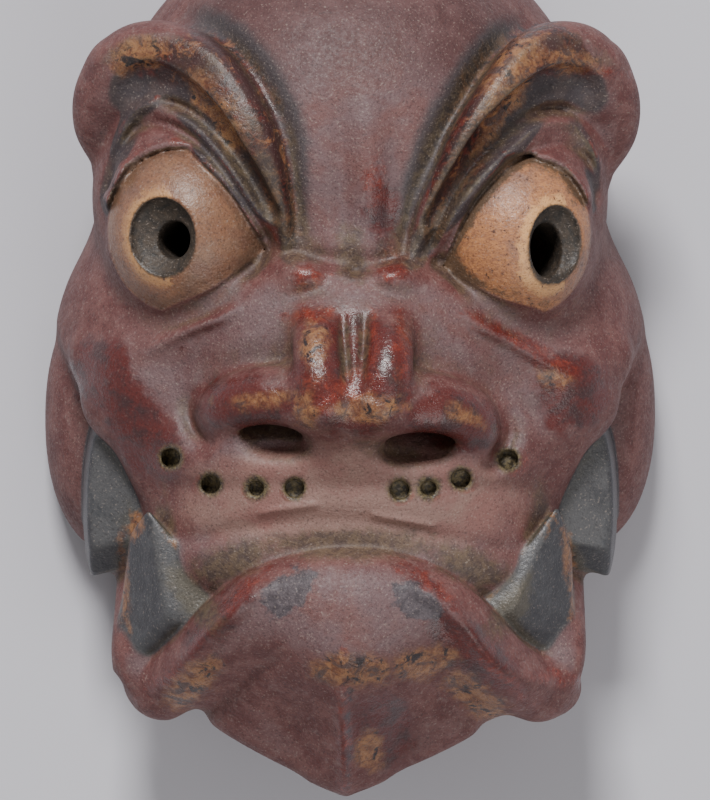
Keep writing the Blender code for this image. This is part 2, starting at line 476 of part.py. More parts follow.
def sampled(field, low, high, step, block=4):
    """The field on a grid, true near the surface and only its sign elsewhere."""
    size = (np.ceil((np.asarray(high) - low) / step / block) * block).astype(int) + 1
    axes = [low[i] + step * np.arange(size[i]) for i in range(3)]
    coarse = np.stack(np.meshgrid(*[a[::block] for a in axes], indexing="ij"), -1)
    value = field(coarse.reshape(-1, 3).astype(np.float32)).reshape(coarse.shape[:3])
    close = np.abs(value) < step * block * 1.9
    grid = np.where(value > 0, 1, -1).astype(np.float32)
    fine = np.zeros(close.shape, bool)
    for shift in np.ndindex(2, 2, 2):
        part = close[tuple(slice(s, n - 1 + s) for s, n in zip(shift, close.shape))]
        fine[:-1, :-1, :-1] |= part
    for i in range(3):
        grid = np.repeat(grid, block, i)
        fine = np.repeat(fine, block, i)
    grid = grid[:size[0], :size[1], :size[2]]
    fine = fine[:size[0], :size[1], :size[2]]
    for i in range(3):
        fine = fine | np.roll(fine, 1, i)
    where = np.argwhere(fine)
    points = (np.asarray(low) + where * step).astype(np.float32)
    grid[fine] = np.concatenate([field(points[i:i + 300000]) for i in range(0, len(points), 300000)])
    return grid


def without_pinches(grid, rounds=12):
    """The grid with every place opened where two parts of the surface would touch at an edge."""
    for _ in range(rounds):
        inside = grid < 0
        opened = np.zeros(grid.shape, bool)
        for a, b in ((0, 1), (1, 2), (0, 2)):
            corner = {}
            for u, v in np.ndindex(2, 2):
                pick = [slice(None)] * 3
                pick[a] = slice(u, grid.shape[a] - 1 + u)
                pick[b] = slice(v, grid.shape[b] - 1 + v)
                corner[u, v] = tuple(pick)
            first = inside[corner[0, 0]] & inside[corner[1, 1]]
            first &= ~inside[corner[1, 0]] & ~inside[corner[0, 1]]
            second = inside[corner[1, 0]] & inside[corner[0, 1]]
            second &= ~inside[corner[0, 0]] & ~inside[corner[1, 1]]
            opened[corner[0, 0]] |= first
            opened[corner[1, 0]] |= second
        if not opened.any():
            break
        grid[opened] = 0.02
    return grid


def polygonised(grid, low, step):
    """Points and quads of the surface where a sampled field changes sign."""
    inside = grid < 0
    cells = tuple(n - 1 for n in grid.shape)
    total = np.zeros(cells + (3,), np.float32)
    count = np.zeros(cells, np.int16)
    for axis in range(3):
        others = [i for i in range(3) if i != axis]
        a = np.moveaxis(grid, axis, 0)
        crossed = (a[:-1] < 0) != (a[1:] < 0)
        share = np.where(crossed, a[:-1] / np.where(crossed, a[:-1] - a[1:], 1), 0)
        for u, v in np.ndindex(2, 2):
            pick = (slice(None), slice(u, a.shape[1] - 1 + u), slice(v, a.shape[2] - 1 + v))
            c = np.moveaxis(crossed[pick], 0, axis)
            count += c
            total[..., axis] += np.moveaxis(share[pick], 0, axis)
            total[..., others[0]] += c * u
            total[..., others[1]] += c * v
    used = count > 0
    index = np.full(cells, -1, np.int32)
    index[used] = np.arange(used.sum())
    points = low + step * (np.argwhere(used) + total[used] / count[used][:, None])
    quads = []
    for axis in range(3):
        others = [i for i in range(3) if i != axis]
        near = [slice(1, -1)] * 3
        far = [slice(1, -1)] * 3
        near[axis] = slice(0, -1)
        far[axis] = slice(1, None)
        here = inside[tuple(near)]
        changed = here != inside[tuple(far)]
        at = np.argwhere(changed) + [int(i != axis) for i in range(3)]
        ring = []
        for u, v in ((0, 0), (1, 0), (1, 1), (0, 1)):
            cell = at.copy()
            cell[:, others[0]] -= u
            cell[:, others[1]] -= v
            ring.append(index[cell[:, 0], cell[:, 1], cell[:, 2]])
        ring = np.stack(ring, 1)
        back = here[changed] == (axis == 1)
        ring[back] = ring[back][:, ::-1]
        quads.append(ring)
    return points, np.concatenate(quads)


# Objects


def placed(name, mesh, collection):
    obj = bpy.data.objects.new(name, mesh)
    collection.objects.link(obj)
    return obj


def collection_named(name):
    found = bpy.data.collections.new(name)
    bpy.context.scene.collection.children.link(found)
    return found


def cutter(name, build, collection):
    """A hidden solid for a Boolean, made by one of the mesh tools."""
    mesh = bpy.data.meshes.new(name)
    bm = bmesh.new()
    build(bm)
    bm.to_mesh(mesh)
    bm.free()
    obj = placed(name, mesh, collection)
    obj.hide_render = True
    obj.display_type = "WIRE"
    return obj


def drill(place, lean, low, high, across, sides):
    """A bore through a place, leaning by degrees towards +X, as wide and high as given."""
    def build(bm):
        turn = Matrix.Rotation(math.radians(lean), 4, "Y")
        size = Matrix.Diagonal((across[0], across[1], high - low, 1))
        size = Matrix.Translation((0, 0, (low + high) / 2)) @ size
        bmesh.ops.create_cone(bm, cap_ends=True, segments=sides, radius1=0.5, radius2=0.5, depth=1,
                              matrix=Matrix.Translation(place) @ turn @ size)
    return build


for old in list(bpy.data.objects):
    bpy.data.objects.remove(old)
part = collection_named("mask")
tools = collection_named("cutters")

# Sampled from below the rim plane, so that the rim is cut flat afterwards
base = BASE_CUT / UNIT
low = np.array([-17.83, -24.47, -base - 0.61])
high = (17.8, 24.4, 23.2)
grid = without_pinches(sampled(lambda p: np.maximum(mask(p), -base - p[:, 2]), low, high, GRID))
points, quads = polygonised(grid, low, GRID)

# Set to the driving sizes, with the origin in the middle of the rim plane
most = points.max(0)
least = points.min(0)
middle = (most + least) / 2
size = (MASK_WIDTH, MASK_HEIGHT, MASK_DEPTH)
scale = size / np.array((most[0] - least[0], most[1] - least[1], most[2]))
middle[2] = 0.0
mesh = bpy.data.meshes.new("mask")
mesh.from_pydata(((points - middle) * scale).tolist(), [], quads.tolist())
body = placed("mask", mesh, part)

coat = bpy.data.materials.new("worn_lacquer")
coat.use_nodes = True
shader = coat.node_tree.nodes["Principled BSDF"]
shader.inputs["Base Color"].default_value = LACQUER
shader.inputs["Roughness"].default_value = 0.42
mesh.materials.append(coat)

fewer = body.modifiers.new("fewer_faces", "DECIMATE")
fewer.ratio = TRIANGLES / (2 * len(quads))


def carved_away(name, build):
    tool = cutter(name, build, tools)
    step = body.modifiers.new(name, "BOOLEAN")
    step.operation = "DIFFERENCE"
    step.solver = "EXACT"
    step.object = tool


def at(x, y, z):
    return (x - middle[0]) * scale[0], (y - middle[1]) * scale[1], z * scale[2]


def slab(bm):
    place = Matrix.Translation((0, 0, -2 * BASE_CUT))
    size = Matrix.Diagonal((MASK_WIDTH * 1.5, MASK_HEIGHT * 1.5, 4 * BASE_CUT, 1))
    bmesh.ops.create_cube(bm, size=1, matrix=place @ size)


carved_away("rim_plane", slab)
for side_name, k in zip(("left", "right"), EYES):
    bore = drill(at(*k["pupil"]), k["lean"], -9.5 * UNIT, 3.5 * UNIT, k["bore"], 16)
    carved_away("pupil_" + side_name, bore)
for i, (x, y, top, small) in enumerate(WHISKERS):
    across = WHISKER_BORE_SMALL if small else WHISKER_BORE
    carved_away("whisker_%d" % i, drill(at(x, y, top), 0, -WHISKER_DEPTH, 4.0 * UNIT, (across, across), 8))
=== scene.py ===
import math
from concurrent.futures import ThreadPoolExecutor

import bpy
import numpy as np
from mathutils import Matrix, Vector


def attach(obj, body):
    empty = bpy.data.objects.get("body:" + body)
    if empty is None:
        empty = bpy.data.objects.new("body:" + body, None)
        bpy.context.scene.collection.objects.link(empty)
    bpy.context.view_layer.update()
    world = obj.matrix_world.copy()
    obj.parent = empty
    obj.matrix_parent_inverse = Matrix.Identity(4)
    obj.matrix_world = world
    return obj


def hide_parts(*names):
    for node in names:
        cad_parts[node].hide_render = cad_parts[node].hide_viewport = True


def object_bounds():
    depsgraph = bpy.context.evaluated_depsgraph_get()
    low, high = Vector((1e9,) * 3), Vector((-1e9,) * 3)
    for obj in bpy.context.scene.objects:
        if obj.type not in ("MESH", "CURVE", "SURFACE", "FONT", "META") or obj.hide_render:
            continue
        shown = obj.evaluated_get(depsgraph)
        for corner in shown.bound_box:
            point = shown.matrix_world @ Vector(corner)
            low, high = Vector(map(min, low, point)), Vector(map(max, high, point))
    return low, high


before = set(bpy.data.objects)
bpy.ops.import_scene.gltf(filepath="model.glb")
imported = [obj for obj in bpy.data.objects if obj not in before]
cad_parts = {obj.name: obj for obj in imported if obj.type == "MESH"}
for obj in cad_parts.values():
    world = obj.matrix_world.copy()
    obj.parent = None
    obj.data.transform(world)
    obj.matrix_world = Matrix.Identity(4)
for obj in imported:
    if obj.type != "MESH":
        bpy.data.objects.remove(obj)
cad_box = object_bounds()

# Sizes of the carving, as in the part's source, in metres
MASK_HEIGHT = 0.0460
WALL = 0.0030
BAR_WIDTH = 0.0034
BAR_THICKNESS = 0.0026
BAR_ABOVE_MIDDLE = 0.0015
LID_THICKNESS = 0.00045
LEFT_IRIS = (0.0037, 0.0042)
RIGHT_IRIS = (0.0034, 0.0042)
IRIS_DISH = 0.00085
LEFT_PUPIL_BORE = (0.0019, 0.0020)
RIGHT_PUPIL_BORE = (0.0021, 0.0029)
WHISKER_BORE = 0.0010
WHISKER_BORE_SMALL = 0.0008
WHISKER_DEPTH = 0.0006
LEFT_NOSTRIL = (0.0034, 0.0014)
RIGHT_NOSTRIL = (0.0038, 0.0018)

# The carving is set out in units of one forty-sixth of the height
UNIT = MASK_HEIGHT / 46
GRID = 0.14
REACH = 3.0
TRIANGLES = 195000
WORKERS = 4


# Shapes of the carving: each gives the distance of points to its surface, less than zero inside


def local(p, low, high, shape):
    """Values of a shape for the points near its box, and its reach for all others."""
    near = np.all((p > low - REACH) & (p < high + REACH), axis=1)
    out = np.full(len(p), REACH, p.dtype)
    if near.any():
        out[near] = np.minimum(shape(p[near]), REACH)
    return out


def ball(p, centre, radii, turn=(0, 0, 0), power=2.0):
    """An ellipsoid turned by degrees about x, y and z; a higher power makes it squarer."""
    centre = np.asarray(centre, p.dtype)
    radii = np.asarray(radii, p.dtype)

    def shape(p):
        q = p - centre
        for (a, b), degrees in (((0, 1), turn[2]), ((2, 0), turn[1]), ((1, 2), turn[0])):
            if degrees:
                c = math.cos(math.radians(degrees))
                s = math.sin(math.radians(degrees))
                q[:, a], q[:, b] = c * q[:, a] + s * q[:, b], c * q[:, b] - s * q[:, a]
        q = np.abs(q) / radii + 1e-6
        size = (q ** power).sum(1) ** (1 / power)
        slope = (q / size[:, None]) ** (power - 1) / radii
        return (size - 1) / np.sqrt((slope * slope).sum(1))

    most = radii.max() if any(turn) else radii
    return local(p, centre - most, centre + most, shape)


def curve(rows):
    """Cubic pieces of a smooth path through every row."""
    ends = np.vstack([2 * rows[0] - rows[1], rows, 2 * rows[-1] - rows[-2]])
    return np.array([(b, (c - a) / 2, a - 2.5 * b + 2 * c - d / 2, (3 * b - a - 3 * c + d) / 2)
                     for a, b, c, d in zip(ends, ends[1:], ends[2:], ends[3:])])


def on_curve(pieces, where):
    """Point, first and second slope of a path at each place along it."""
    i = np.clip(where.astype(int), 0, len(pieces) - 1)
    t = (where - i)[:, None]
    k = pieces[i]
    point = k[:, 0] + t * (k[:, 1] + t * (k[:, 2] + t * k[:, 3]))
    return point, k[:, 1] + t * (2 * k[:, 2] + 3 * t * k[:, 3]), 2 * k[:, 2] + 6 * t * k[:, 3]


def nearest(q, rows, axes, steps=4):
    """The row and the slope of a smooth path at the place nearest to each point."""
    pieces = curve(rows)
    last = len(pieces) - 1e-6
    places = np.minimum(np.arange(len(pieces) * steps + 1) / steps, last)
    knots = on_curve(pieces, places)[0][:, :axes]
    best = np.full(len(q), np.inf)
    where = np.zeros(len(q))
    for i, (a, b) in enumerate(zip(knots, knots[1:])):
        along = b - a
        t = np.clip((q - a) @ along / (along @ along), 0, 1)
        gap = ((q - a - t[:, None] * along) ** 2).sum(1)
        closer = gap < best
        best[closer] = gap[closer]
        where[closer] = (i + t[closer]) / steps
    for _ in range(2):
        point, slope, bow = [v[:, :axes] for v in on_curve(pieces, where)]
        gap = point - q
        bend = (slope * slope).sum(1) + (gap * bow).sum(1)
        shift = (gap * slope).sum(1) / np.where(bend > 1e-3, bend, 1e9)
        where = np.clip(where - np.clip(shift, -0.2, 0.2), 0, last)
    point, slope, _ = on_curve(pieces, where)
    return point, slope


def rod(p, rows):
    """A smooth round stroke through rows of (x, y, z, radius)."""
    rows = np.asarray(rows, np.float64)

    def shape(p):
        point, _ = nearest(p.astype(np.float64), rows, 3)
        return (np.linalg.norm(p - point[:, :3], axis=1) - point[:, 3]).astype(p.dtype)

    most = rows[:, 3].max()
    return local(p, rows[:, :3].min(0) - most, rows[:, :3].max(0) + most, shape)


def strip(p, rows, power=3.0):
    """A flat-topped band over a path in plan, rows of (x, y, z, half width, half height, lean)."""
    rows = np.asarray(rows, np.float64)

    def shape(p):
        q = p.astype(np.float64)
        point, slope = nearest(q[:, :2], rows, 2)
        off = q[:, :2] - point[:, :2]
        plan = np.linalg.norm(off, axis=1)
        left = np.sign(slope[:, 0] * off[:, 1] - slope[:, 1] * off[:, 0]) * plan
        rise = np.abs(q[:, 2] - point[:, 2] - point[:, 5] * left)
        size = ((plan / point[:, 3]) ** power + (rise / point[:, 4]) ** power + 1e-9) ** (1 / power)
        return ((size - 1) * np.minimum(point[:, 3], point[:, 4])).astype(p.dtype)

    most = rows[:, 3:5].max()
    return local(p, rows[:, :3].min(0) - most, rows[:, :3].max(0) + most, shape)


def stroke(p, rows):
    """Height of a soft stroke along a path in plan, rows of (x, y, half width, height)."""
    rows = np.asarray(rows, np.float64)
    most = 2.2 * rows[:, 2].max()
    low, high = rows[:, :2].min(0) - most, rows[:, :2].max(0) + most
    ok = (p[:, 0] > low[0]) & (p[:, 0] < high[0]) & (p[:, 1] > low[1]) & (p[:, 1] < high[1]) & (p[:, 2] > 6)
    out = np.zeros(len(p), p.dtype)
    if ok.any():
        q = p[ok][:, :2].astype(np.float64)
        point, _ = nearest(q, rows, 2)
        far = ((q - point[:, :2]) ** 2).sum(1) / point[:, 2] ** 2
        out[ok] = point[:, 3] * np.exp(-far) * np.clip(p[ok][:, 2] / 3 - 2, 0, 1)
    return out


def side(p, point, normal):
    """The half-space behind a plane whose normal points out of it."""
    n = np.asarray(normal, p.dtype)
    return (p - np.asarray(point, p.dtype)) @ (n / np.linalg.norm(n))


def facet(p, a, b, c, inside):
    """The half-space behind the plane through a, b and c, on the side of a point inside."""
    a, b, c, inside = [np.asarray(v, np.float64) for v in (a, b, c, inside)]
    n = np.cross(b - a, c - a)
    return side(p, a, n if (inside - a) @ n < 0 else -n)


def teardrop(p, centre, radius, tip, narrow=0.82):
    """A disc in plan, narrowed across and drawn out to a tip, with slightly full sides."""
    shrink = np.asarray((1 / narrow, 1), p.dtype)
    along = (np.asarray(tip, p.dtype) - centre) * shrink
    q = (p[:, :2] - np.asarray(centre, p.dtype)) * shrink
    share = np.clip(q @ along / (along @ along), 0, 1)
    swell = 0.35 * np.sin(np.pi * share) ** 2
    return np.linalg.norm(q - share[:, None] * along, axis=1) - radius * (1 - share) - 0.1 - swell


def rise(v, low, high):
    """Zero below low and one above high, with an easy slope between."""
    t = np.clip((v - low) / (high - low), 0, 1)
    return t * t * (3 - 2 * t)


def join(a, b, fillet):
    """Two shapes together, with a rounded inner corner."""
    h = np.maximum(fillet - np.abs(a - b), 0) / fillet
    return np.minimum(a, b) - h * h * fillet / 4


def keep(a, b, fillet):
    """What two shapes have in common, with a rounded edge."""
    return -join(-a, -b, fillet)


def cut(a, b, fillet):
    """The first shape without the second."""
    return -join(-a, b, fillet)


# The two sides of the face, x negative first; the carver made them slightly unlike

EYES = [
    dict(centre=(-8.4, 7.15, 12.5), radii=(4.35, 5.0, 4.7), window=(-9.15, 7.05), size=4.2, tip=(-4.5, 6.0),
         up=(0.228, 0.973), iris=(-9.85, 6.6, 16.45), across=LEFT_IRIS, tilt=-25, pupil=(-9.3, 6.5, 16.2),
         lean=-16, bore=LEFT_PUPIL_BORE),
    dict(centre=(8.6, 6.85, 12.5), radii=(4.25, 4.9, 4.7), window=(9.2, 6.7), size=4.05, tip=(4.95, 5.1),
         up=(-0.366, 0.931), iris=(10.85, 6.2, 16.2), across=RIGHT_IRIS, tilt=38, pupil=(10.25, 5.95, 15.8),
         lean=20, bore=RIGHT_PUPIL_BORE)]
BROWS = [
    [(-3.1, 6.4, 15.2, 0.4, 1.2, 0.0), (-3.5, 8.0, 15.2, 0.75, 1.9, 0.0),
     (-4.2, 10.1, 15.2, 1.1, 2.4, 0.0), (-5.3, 12.5, 15.0, 1.5, 2.8, 0.0),
     (-7.25, 15.3, 13.9, 1.65, 2.9, -0.1), (-9.3, 16.4, 12.7, 1.5, 2.8, -0.2),
     (-11.0, 16.6, 11.6, 1.25, 2.6, -0.3), (-12.4, 16.1, 10.7, 0.9, 2.3, -0.3)],
    [(3.2, 5.9, 15.0, 0.4, 1.2, 0.0), (4.0, 7.8, 15.1, 0.7, 1.9, 0.0), (4.9, 9.65, 15.2, 0.95, 2.3, 0.0),
     (5.8, 11.3, 15.1, 1.2, 2.6, 0.0), (7.05, 13.2, 14.8, 1.35, 2.8, 0.0),
     (8.5, 14.9, 14.0, 1.5, 2.9, 0.1), (9.9, 16.1, 13.0, 1.5, 2.8, 0.2),
     (11.9, 16.6, 11.6, 1.25, 2.6, 0.3), (13.2, 16.0, 10.7, 0.9, 2.3, 0.3)]]
BROW_ENDS = [
    [(-6.6, 14.0, 14.4, 1.0), (-8.6, 15.5, 13.4, 1.8), (-10.7, 15.7, 12.2, 2.2),
     (-12.3, 14.6, 10.8, 2.1), (-12.9, 12.8, 9.8, 1.7), (-12.5, 10.8, 9.2, 1.1)],
    [(7.6, 14.0, 14.3, 1.0), (9.6, 15.5, 13.3, 1.9), (11.4, 15.7, 12.1, 2.2),
     (12.9, 14.5, 10.7, 2.2), (13.4, 12.6, 9.7, 1.8), (12.7, 10.4, 9.1, 1.2)]]
TROUGHS = [
    [(-13.3, 9.0, 12.9, 1.1), (-12.8, 12.0, 13.9, 1.3), (-11.1, 14.6, 14.8, 1.35), (-9.3, 14.2, 15.8, 1.2),
     (-7.5, 12.2, 16.7, 1.35), (-5.9, 10.0, 17.0, 1.1), (-4.4, 7.9, 16.8, 0.65)],
    [(13.6, 9.0, 12.9, 1.1), (13.7, 11.6, 13.7, 1.3), (12.2, 14.3, 14.6, 1.4), (10.2, 14.1, 15.6, 1.3),
     (8.1, 12.0, 16.7, 1.5), (6.3, 9.7, 17.0, 1.15), (4.6, 7.4, 16.8, 0.65)]]
CHEEK_RIDGES = [
    [(-13.3, 0.5, 9.0, 1.4), (-11.2, 0.5, 11.4, 1.3), (-8.9, 1.0, 13.2, 1.15), (-7.2, 1.8, 14.2, 1.0),
     (-5.2, 3.1, 15.0, 0.8), (-3.4, 4.5, 15.3, 0.5)],
    [(13.4, 0.4, 9.0, 1.4), (11.1, -0.1, 11.5, 1.3), (9.4, 0.3, 12.9, 1.15), (7.6, 1.2, 14.0, 1.0),
     (5.3, 2.8, 15.0, 0.8), (3.4, 4.1, 15.4, 0.5)]]
NASAL_FOLDS = [
    [(-4.6, 0.2, 18.0, 0.6), (-6.3, -0.1, 17.2, 0.8), (-8.2, -0.9, 16.2, 0.8),
     (-8.9, -2.6, 15.7, 0.7), (-8.3, -4.3, 16.0, 0.5)],
    [(4.8, 0.0, 18.0, 0.6), (6.4, -0.5, 17.2, 0.8), (8.1, -1.7, 16.2, 0.8),
     (8.6, -3.4, 15.7, 0.7), (7.9, -5.3, 16.0, 0.5)]]
WINGS = [
    [(-6.9, -2.9, 15.2, 1.4), (-5.9, -2.3, 16.6, 1.6), (-4.3, -1.9, 17.7, 1.65), (-2.4, -2.0, 18.2, 1.8)],
    [(6.0, -4.3, 15.0, 1.4), (6.1, -3.2, 16.2, 1.7), (4.5, -2.5, 17.7, 1.8), (2.6, -2.4, 18.2, 1.8)]]
NOSTRILS = [
    dict(centre=(-4.1, -3.4, 16.9), mouth=LEFT_NOSTRIL, turn=4),
    dict(centre=(3.65, -3.7, 17.0), mouth=RIGHT_NOSTRIL, turn=-9)]
TUSKS = [
    dict(tip=(-10.6, -7.8, 13.8), edge=(-11.6, -8.9, 12.6), ridge=(-9.7, -13.6, 14.0),
         low=(-12.2, -13.9, 10.2), inner=(-8.0, -11.0, 14.1), foot=(-9.9, -14.3, 13.3)),
    dict(tip=(10.9, -7.6, 13.8), edge=(11.7, -9.7, 12.2), ridge=(9.0, -12.2, 14.4),
         low=(11.8, -13.4, 10.2), inner=(8.3, -11.1, 14.1), foot=(9.9, -14.1, 13.1))]
LOWER_LIP = [
    (-10.4, -17.2, 8.6, 1.5), (-9.2, -16.9, 10.4, 1.8), (-7.6, -15.8, 12.8, 1.95),
    (-6.0, -14.3, 14.6, 2.1), (-4.2, -13.1, 15.7, 2.3), (-2.0, -12.6, 16.2, 2.5), (0, -12.5, 16.3, 2.6),
    (2.0, -12.6, 16.2, 2.5), (4.2, -13.3, 15.7, 2.3), (6.0, -14.7, 14.6, 2.1), (7.8, -16.4, 12.7, 1.95),
    (9.4, -17.2, 10.3, 1.8), (10.7, -17.4, 8.6, 1.5)]
# Lines carved in low relief: paths in plan with rows of (x, y, half width, height), below zero for grooves
RELIEF = {
    "folds over the eyes": [
        [(-12.1, 9.6, 0.4, 0.15), (-12.1, 11.8, 0.42, 0.4), (-11.6, 13.1, 0.45, 0.5),
         (-10.4, 13.6, 0.45, 0.45), (-8.6, 12.8, 0.45, 0.5), (-6.9, 11.2, 0.42, 0.5),
         (-5.6, 9.3, 0.4, 0.5), (-4.4, 7.3, 0.35, 0.3), (-3.7, 6.2, 0.3, 0.1)],
        [(12.9, 9.6, 0.45, 0.2), (13.0, 11.2, 0.5, 0.4), (11.9, 12.7, 0.5, 0.45), (10.1, 12.6, 0.5, 0.5),
         (8.0, 11.0, 0.5, 0.5), (6.2, 9.0, 0.45, 0.45), (4.9, 7.0, 0.4, 0.35), (4.1, 5.4, 0.3, 0.1)]],
    "grooves between fold and lid": [
        [(-12.7, 9.4, 0.3, -0.15), (-12.3, 11.0, 0.3, -0.26), (-11.2, 12.4, 0.32, -0.26),
         (-9.7, 12.6, 0.32, -0.26), (-8.0, 11.7, 0.32, -0.26), (-6.5, 10.0, 0.3, -0.26),
         (-5.4, 8.3, 0.28, -0.26), (-4.4, 6.7, 0.25, -0.2)],
        [(12.9, 8.6, 0.28, -0.15), (12.7, 10.4, 0.3, -0.26), (11.4, 11.5, 0.32, -0.26),
         (9.8, 11.3, 0.32, -0.26), (8.0, 10.1, 0.32, -0.26), (6.4, 8.4, 0.3, -0.26),
         (5.3, 6.6, 0.28, -0.26),
         (4.5, 5.2, 0.25, -0.15)]], "grooves along the brows": [ [(-3.0, 6.2, 0.35, -0.1),
         (-2.8, 8.3, 0.45, -0.25), (-3.3, 11.9, 0.55, -0.35), (-4.1, 14.0, 0.6, -0.35),
         (-5.2, 15.8, 0.6, -0.35), (-6.8, 17.6, 0.6, -0.3), (-8.6, 18.6, 0.6, -0.15)],
        [(2.8, 5.9, 0.35, -0.1), (3.2, 8.6, 0.45, -0.25), (4.1, 10.7, 0.55, -0.35),
         (4.9, 12.5, 0.6, -0.35), (5.8, 14.0, 0.6, -0.35), (6.7, 15.5, 0.6, -0.35),
         (7.9, 17.1, 0.6, -0.3),
         (9.2, 18.3, 0.6, -0.15)]], "furrows of the forehead": [ [(-0.6, 14.8, 0.6, 0),
         (-0.5, 11.5, 0.6, -0.24), (-0.4, 8.0, 0.55, -0.26), (-0.3, 6.0, 0.45, -0.08)],
        [(0.9, 15.4, 0.7, 0), (0.9, 12.4, 0.7, 0.2), (0.9, 9.0, 0.6, 0.2), (0.8, 7.0, 0.5, 0.05)],
        [(2.3, 14.0, 0.6, 0), (2.3, 10.8, 0.6, -0.22), (2.1, 8.0, 0.5, -0.2), (1.8, 6.3, 0.4, 0)],
        [(-2.9, 5.8, 0.5, -0.1), (-1.4, 5.5, 0.55, -0.35), (0.3, 5.3, 0.55, -0.4), (1.8, 5.4, 0.55, -0.35),
         (2.8, 5.6, 0.5, -0.1)]],
    "crests under the eyes": [
        [(-11.4, 0.2, 0.4, 0), (-9.5, 1.2, 0.36, 0.3), (-8.2, 1.8, 0.34, 0.35), (-6.9, 2.3, 0.34, 0.3),
         (-5.6, 3.0, 0.3, 0)],
        [(5.6, 2.7, 0.3, 0), (7.0, 1.8, 0.34, 0.35), (8.4, 1.1, 0.34, 0.35), (9.9, 0.2, 0.36, 0.3),
         (11.6, -0.6, 0.4, 0)]],
    "lines down the nose": [
        [(-0.35, 2.8, 0.25, 0), (-0.35, 1.5, 0.26, -0.22), (-0.2, -0.6, 0.26, -0.18),
         (-0.2, -1.5, 0.25, 0)],
        [(0.75, 2.8, 0.25, 0), (0.75, 1.5, 0.26, -0.22), (0.65, -0.4, 0.26, -0.16), (0.6, -1.3, 0.25, 0)]],
    "hollows round the wings": [
        [(-8.3, -1.2, 0.4, 0), (-8.5, -2.6, 0.45, -0.3), (-7.9, -3.9, 0.45, -0.4), (-6.7, -4.5, 0.4, 0)],
        [(6.7, -5.9, 0.4, 0), (7.6, -5.2, 0.45, -0.35), (8.4, -3.9, 0.45, -0.4), (8.2, -2.4, 0.45, 0)]],
    "steps in the upper lip": [
        [(-5.0, -8.1, 0.16, 0), (-4.4, -7.95, 0.18, 0.15), (-2.0, -7.6, 0.18, 0.15),
         (-1.5, -7.6, 0.16, 0)],
        [(1.0, -8.1, 0.16, 0), (1.5, -8.2, 0.18, 0.15), (4.0, -8.65, 0.18, 0.15), (4.6, -8.8, 0.16, 0)]],
    "edge under the upper lip": [
        [(-9.2, -9.4, 0.5, 0), (-7.8, -9.4, 0.5, -0.2), (-5.6, -8.9, 0.5, -0.22), (-3.2, -8.5, 0.5, -0.18),
         (0.0, -8.4, 0.5, -0.14), (3.0, -8.9, 0.5, -0.18), (5.6, -9.6, 0.5, -0.22),
         (7.8, -10.0, 0.5, -0.2),
         (9.2, -9.8, 0.5, 0)]], "crest of the lower lip": [ [(-10.2, -17.2, 0.6, 0.2),
         (-8.3, -15.5, 0.6, 0.6), (-7.2, -14.2, 0.6, 0.65), (-5.9, -13.1, 0.55, 0.55),
         (-4.9, -12.3, 0.5, 0.3), (-3.4, -11.6, 0.45, 0)],
        [(2.4, -11.7, 0.45, 0), (3.6, -12.1, 0.5, 0.3), (4.8, -12.7, 0.55, 0.55), (6.0, -13.9, 0.6, 0.65),
         (7.5, -15.9, 0.6, 0.6), (9.4, -17.0, 0.6, 0.35), (11.2, -17.3, 0.6, 0.1)]],
    "grooves under the lower lip": [
        [(-9.4, -19.2, 0.6, 0), (-7.6, -18.6, 0.6, -0.26), (-5.9, -17.0, 0.6, -0.26),
         (-4.2, -15.9, 0.5, -0.2), (-3.0, -15.6, 0.5, 0)],
        [(3.2, -17.0, 0.5, 0), (4.4, -17.5, 0.6, -0.2), (6.2, -18.9, 0.6, -0.26), (8.2, -19.6, 0.6, -0.2),
         (9.5, -19.8, 0.6, 0)]],
    "keel of the chin": [
        [(-0.55, -17.2, 0.35, 0), (-0.5, -18.2, 0.36, 0.28), (-0.35, -20.5, 0.36, 0.38),
         (-0.25, -22.6, 0.36, 0.25), (-0.2, -23.6, 0.3, 0)],
        [(-2.6, -17.4, 1.2, 0), (-3.2, -19.0, 1.3, -0.35), (-2.6, -20.8, 1.1, -0.3),
         (-1.8, -22.2, 0.9, 0)],
        [(2.2, -18.0, 1.2, 0), (2.9, -19.4, 1.3, -0.3), (2.4, -21.0, 1.1, -0.25), (1.6, -22.3, 0.9, 0)]]}
# Bristle holes in the upper lip: x, y, height of the lip there, and whether the hole is a small one
WHISKERS = [
    (-9.4, -5.1, 14.3, False), (-7.3, -6.5, 15.7, False), (-4.9, -6.7, 16.9, True),
    (-2.9, -6.7, 17.4, False), (2.6, -6.8, 17.4, False), (4.1, -6.7, 17.1, True),
    (5.8, -6.2, 16.8, False), (8.3, -5.2, 15.1, False)]
SIDES = ((0, -1), (1, 1))


# The pieces of the face


def core(p):
    """The head without its features, which is also the pattern for the hollow at the back."""
    head = ball(p, (0, 5.2, 1), (13.5, 17.8, 13.2), power=2.6)
    face = ball(p, (0, -3.0, 1), (13.0, 13.5, 13.0), power=2.5)
    jaw = ball(p, (0, -12.2, 2), (12.2, 7.6, 11.0), power=2.4)
    return join(join(head, face, 2.0), jaw, 1.5)


def brow_and_forehead(p):
    """Forehead and the root of the nose."""
    f = join(core(p), ball(p, (0, 12.2, 4.5), (10.5, 11.0, 12.8), power=2.3), 1.5)
    return join(f, ball(p, (0, 4.5, 6.0), (5.4, 9.0, 10.3), power=2.4), 1.5)


def upper_lip(p):
    """The full lip under the nose and the narrow band set back below it."""
    full = ball(p, (0, -4.6, 5.0), (11.0, 4.3, 13.0), power=2.8)
    band = ball(p, (0, -5.8, 5.0), (10.4, 5.5, 12.5), power=2.8)
    return join(join(full, band, 0.2), ball(p, (0, -9.4, 6.0), (10.9, 4.8, 10.5), power=3.0), 1.0)


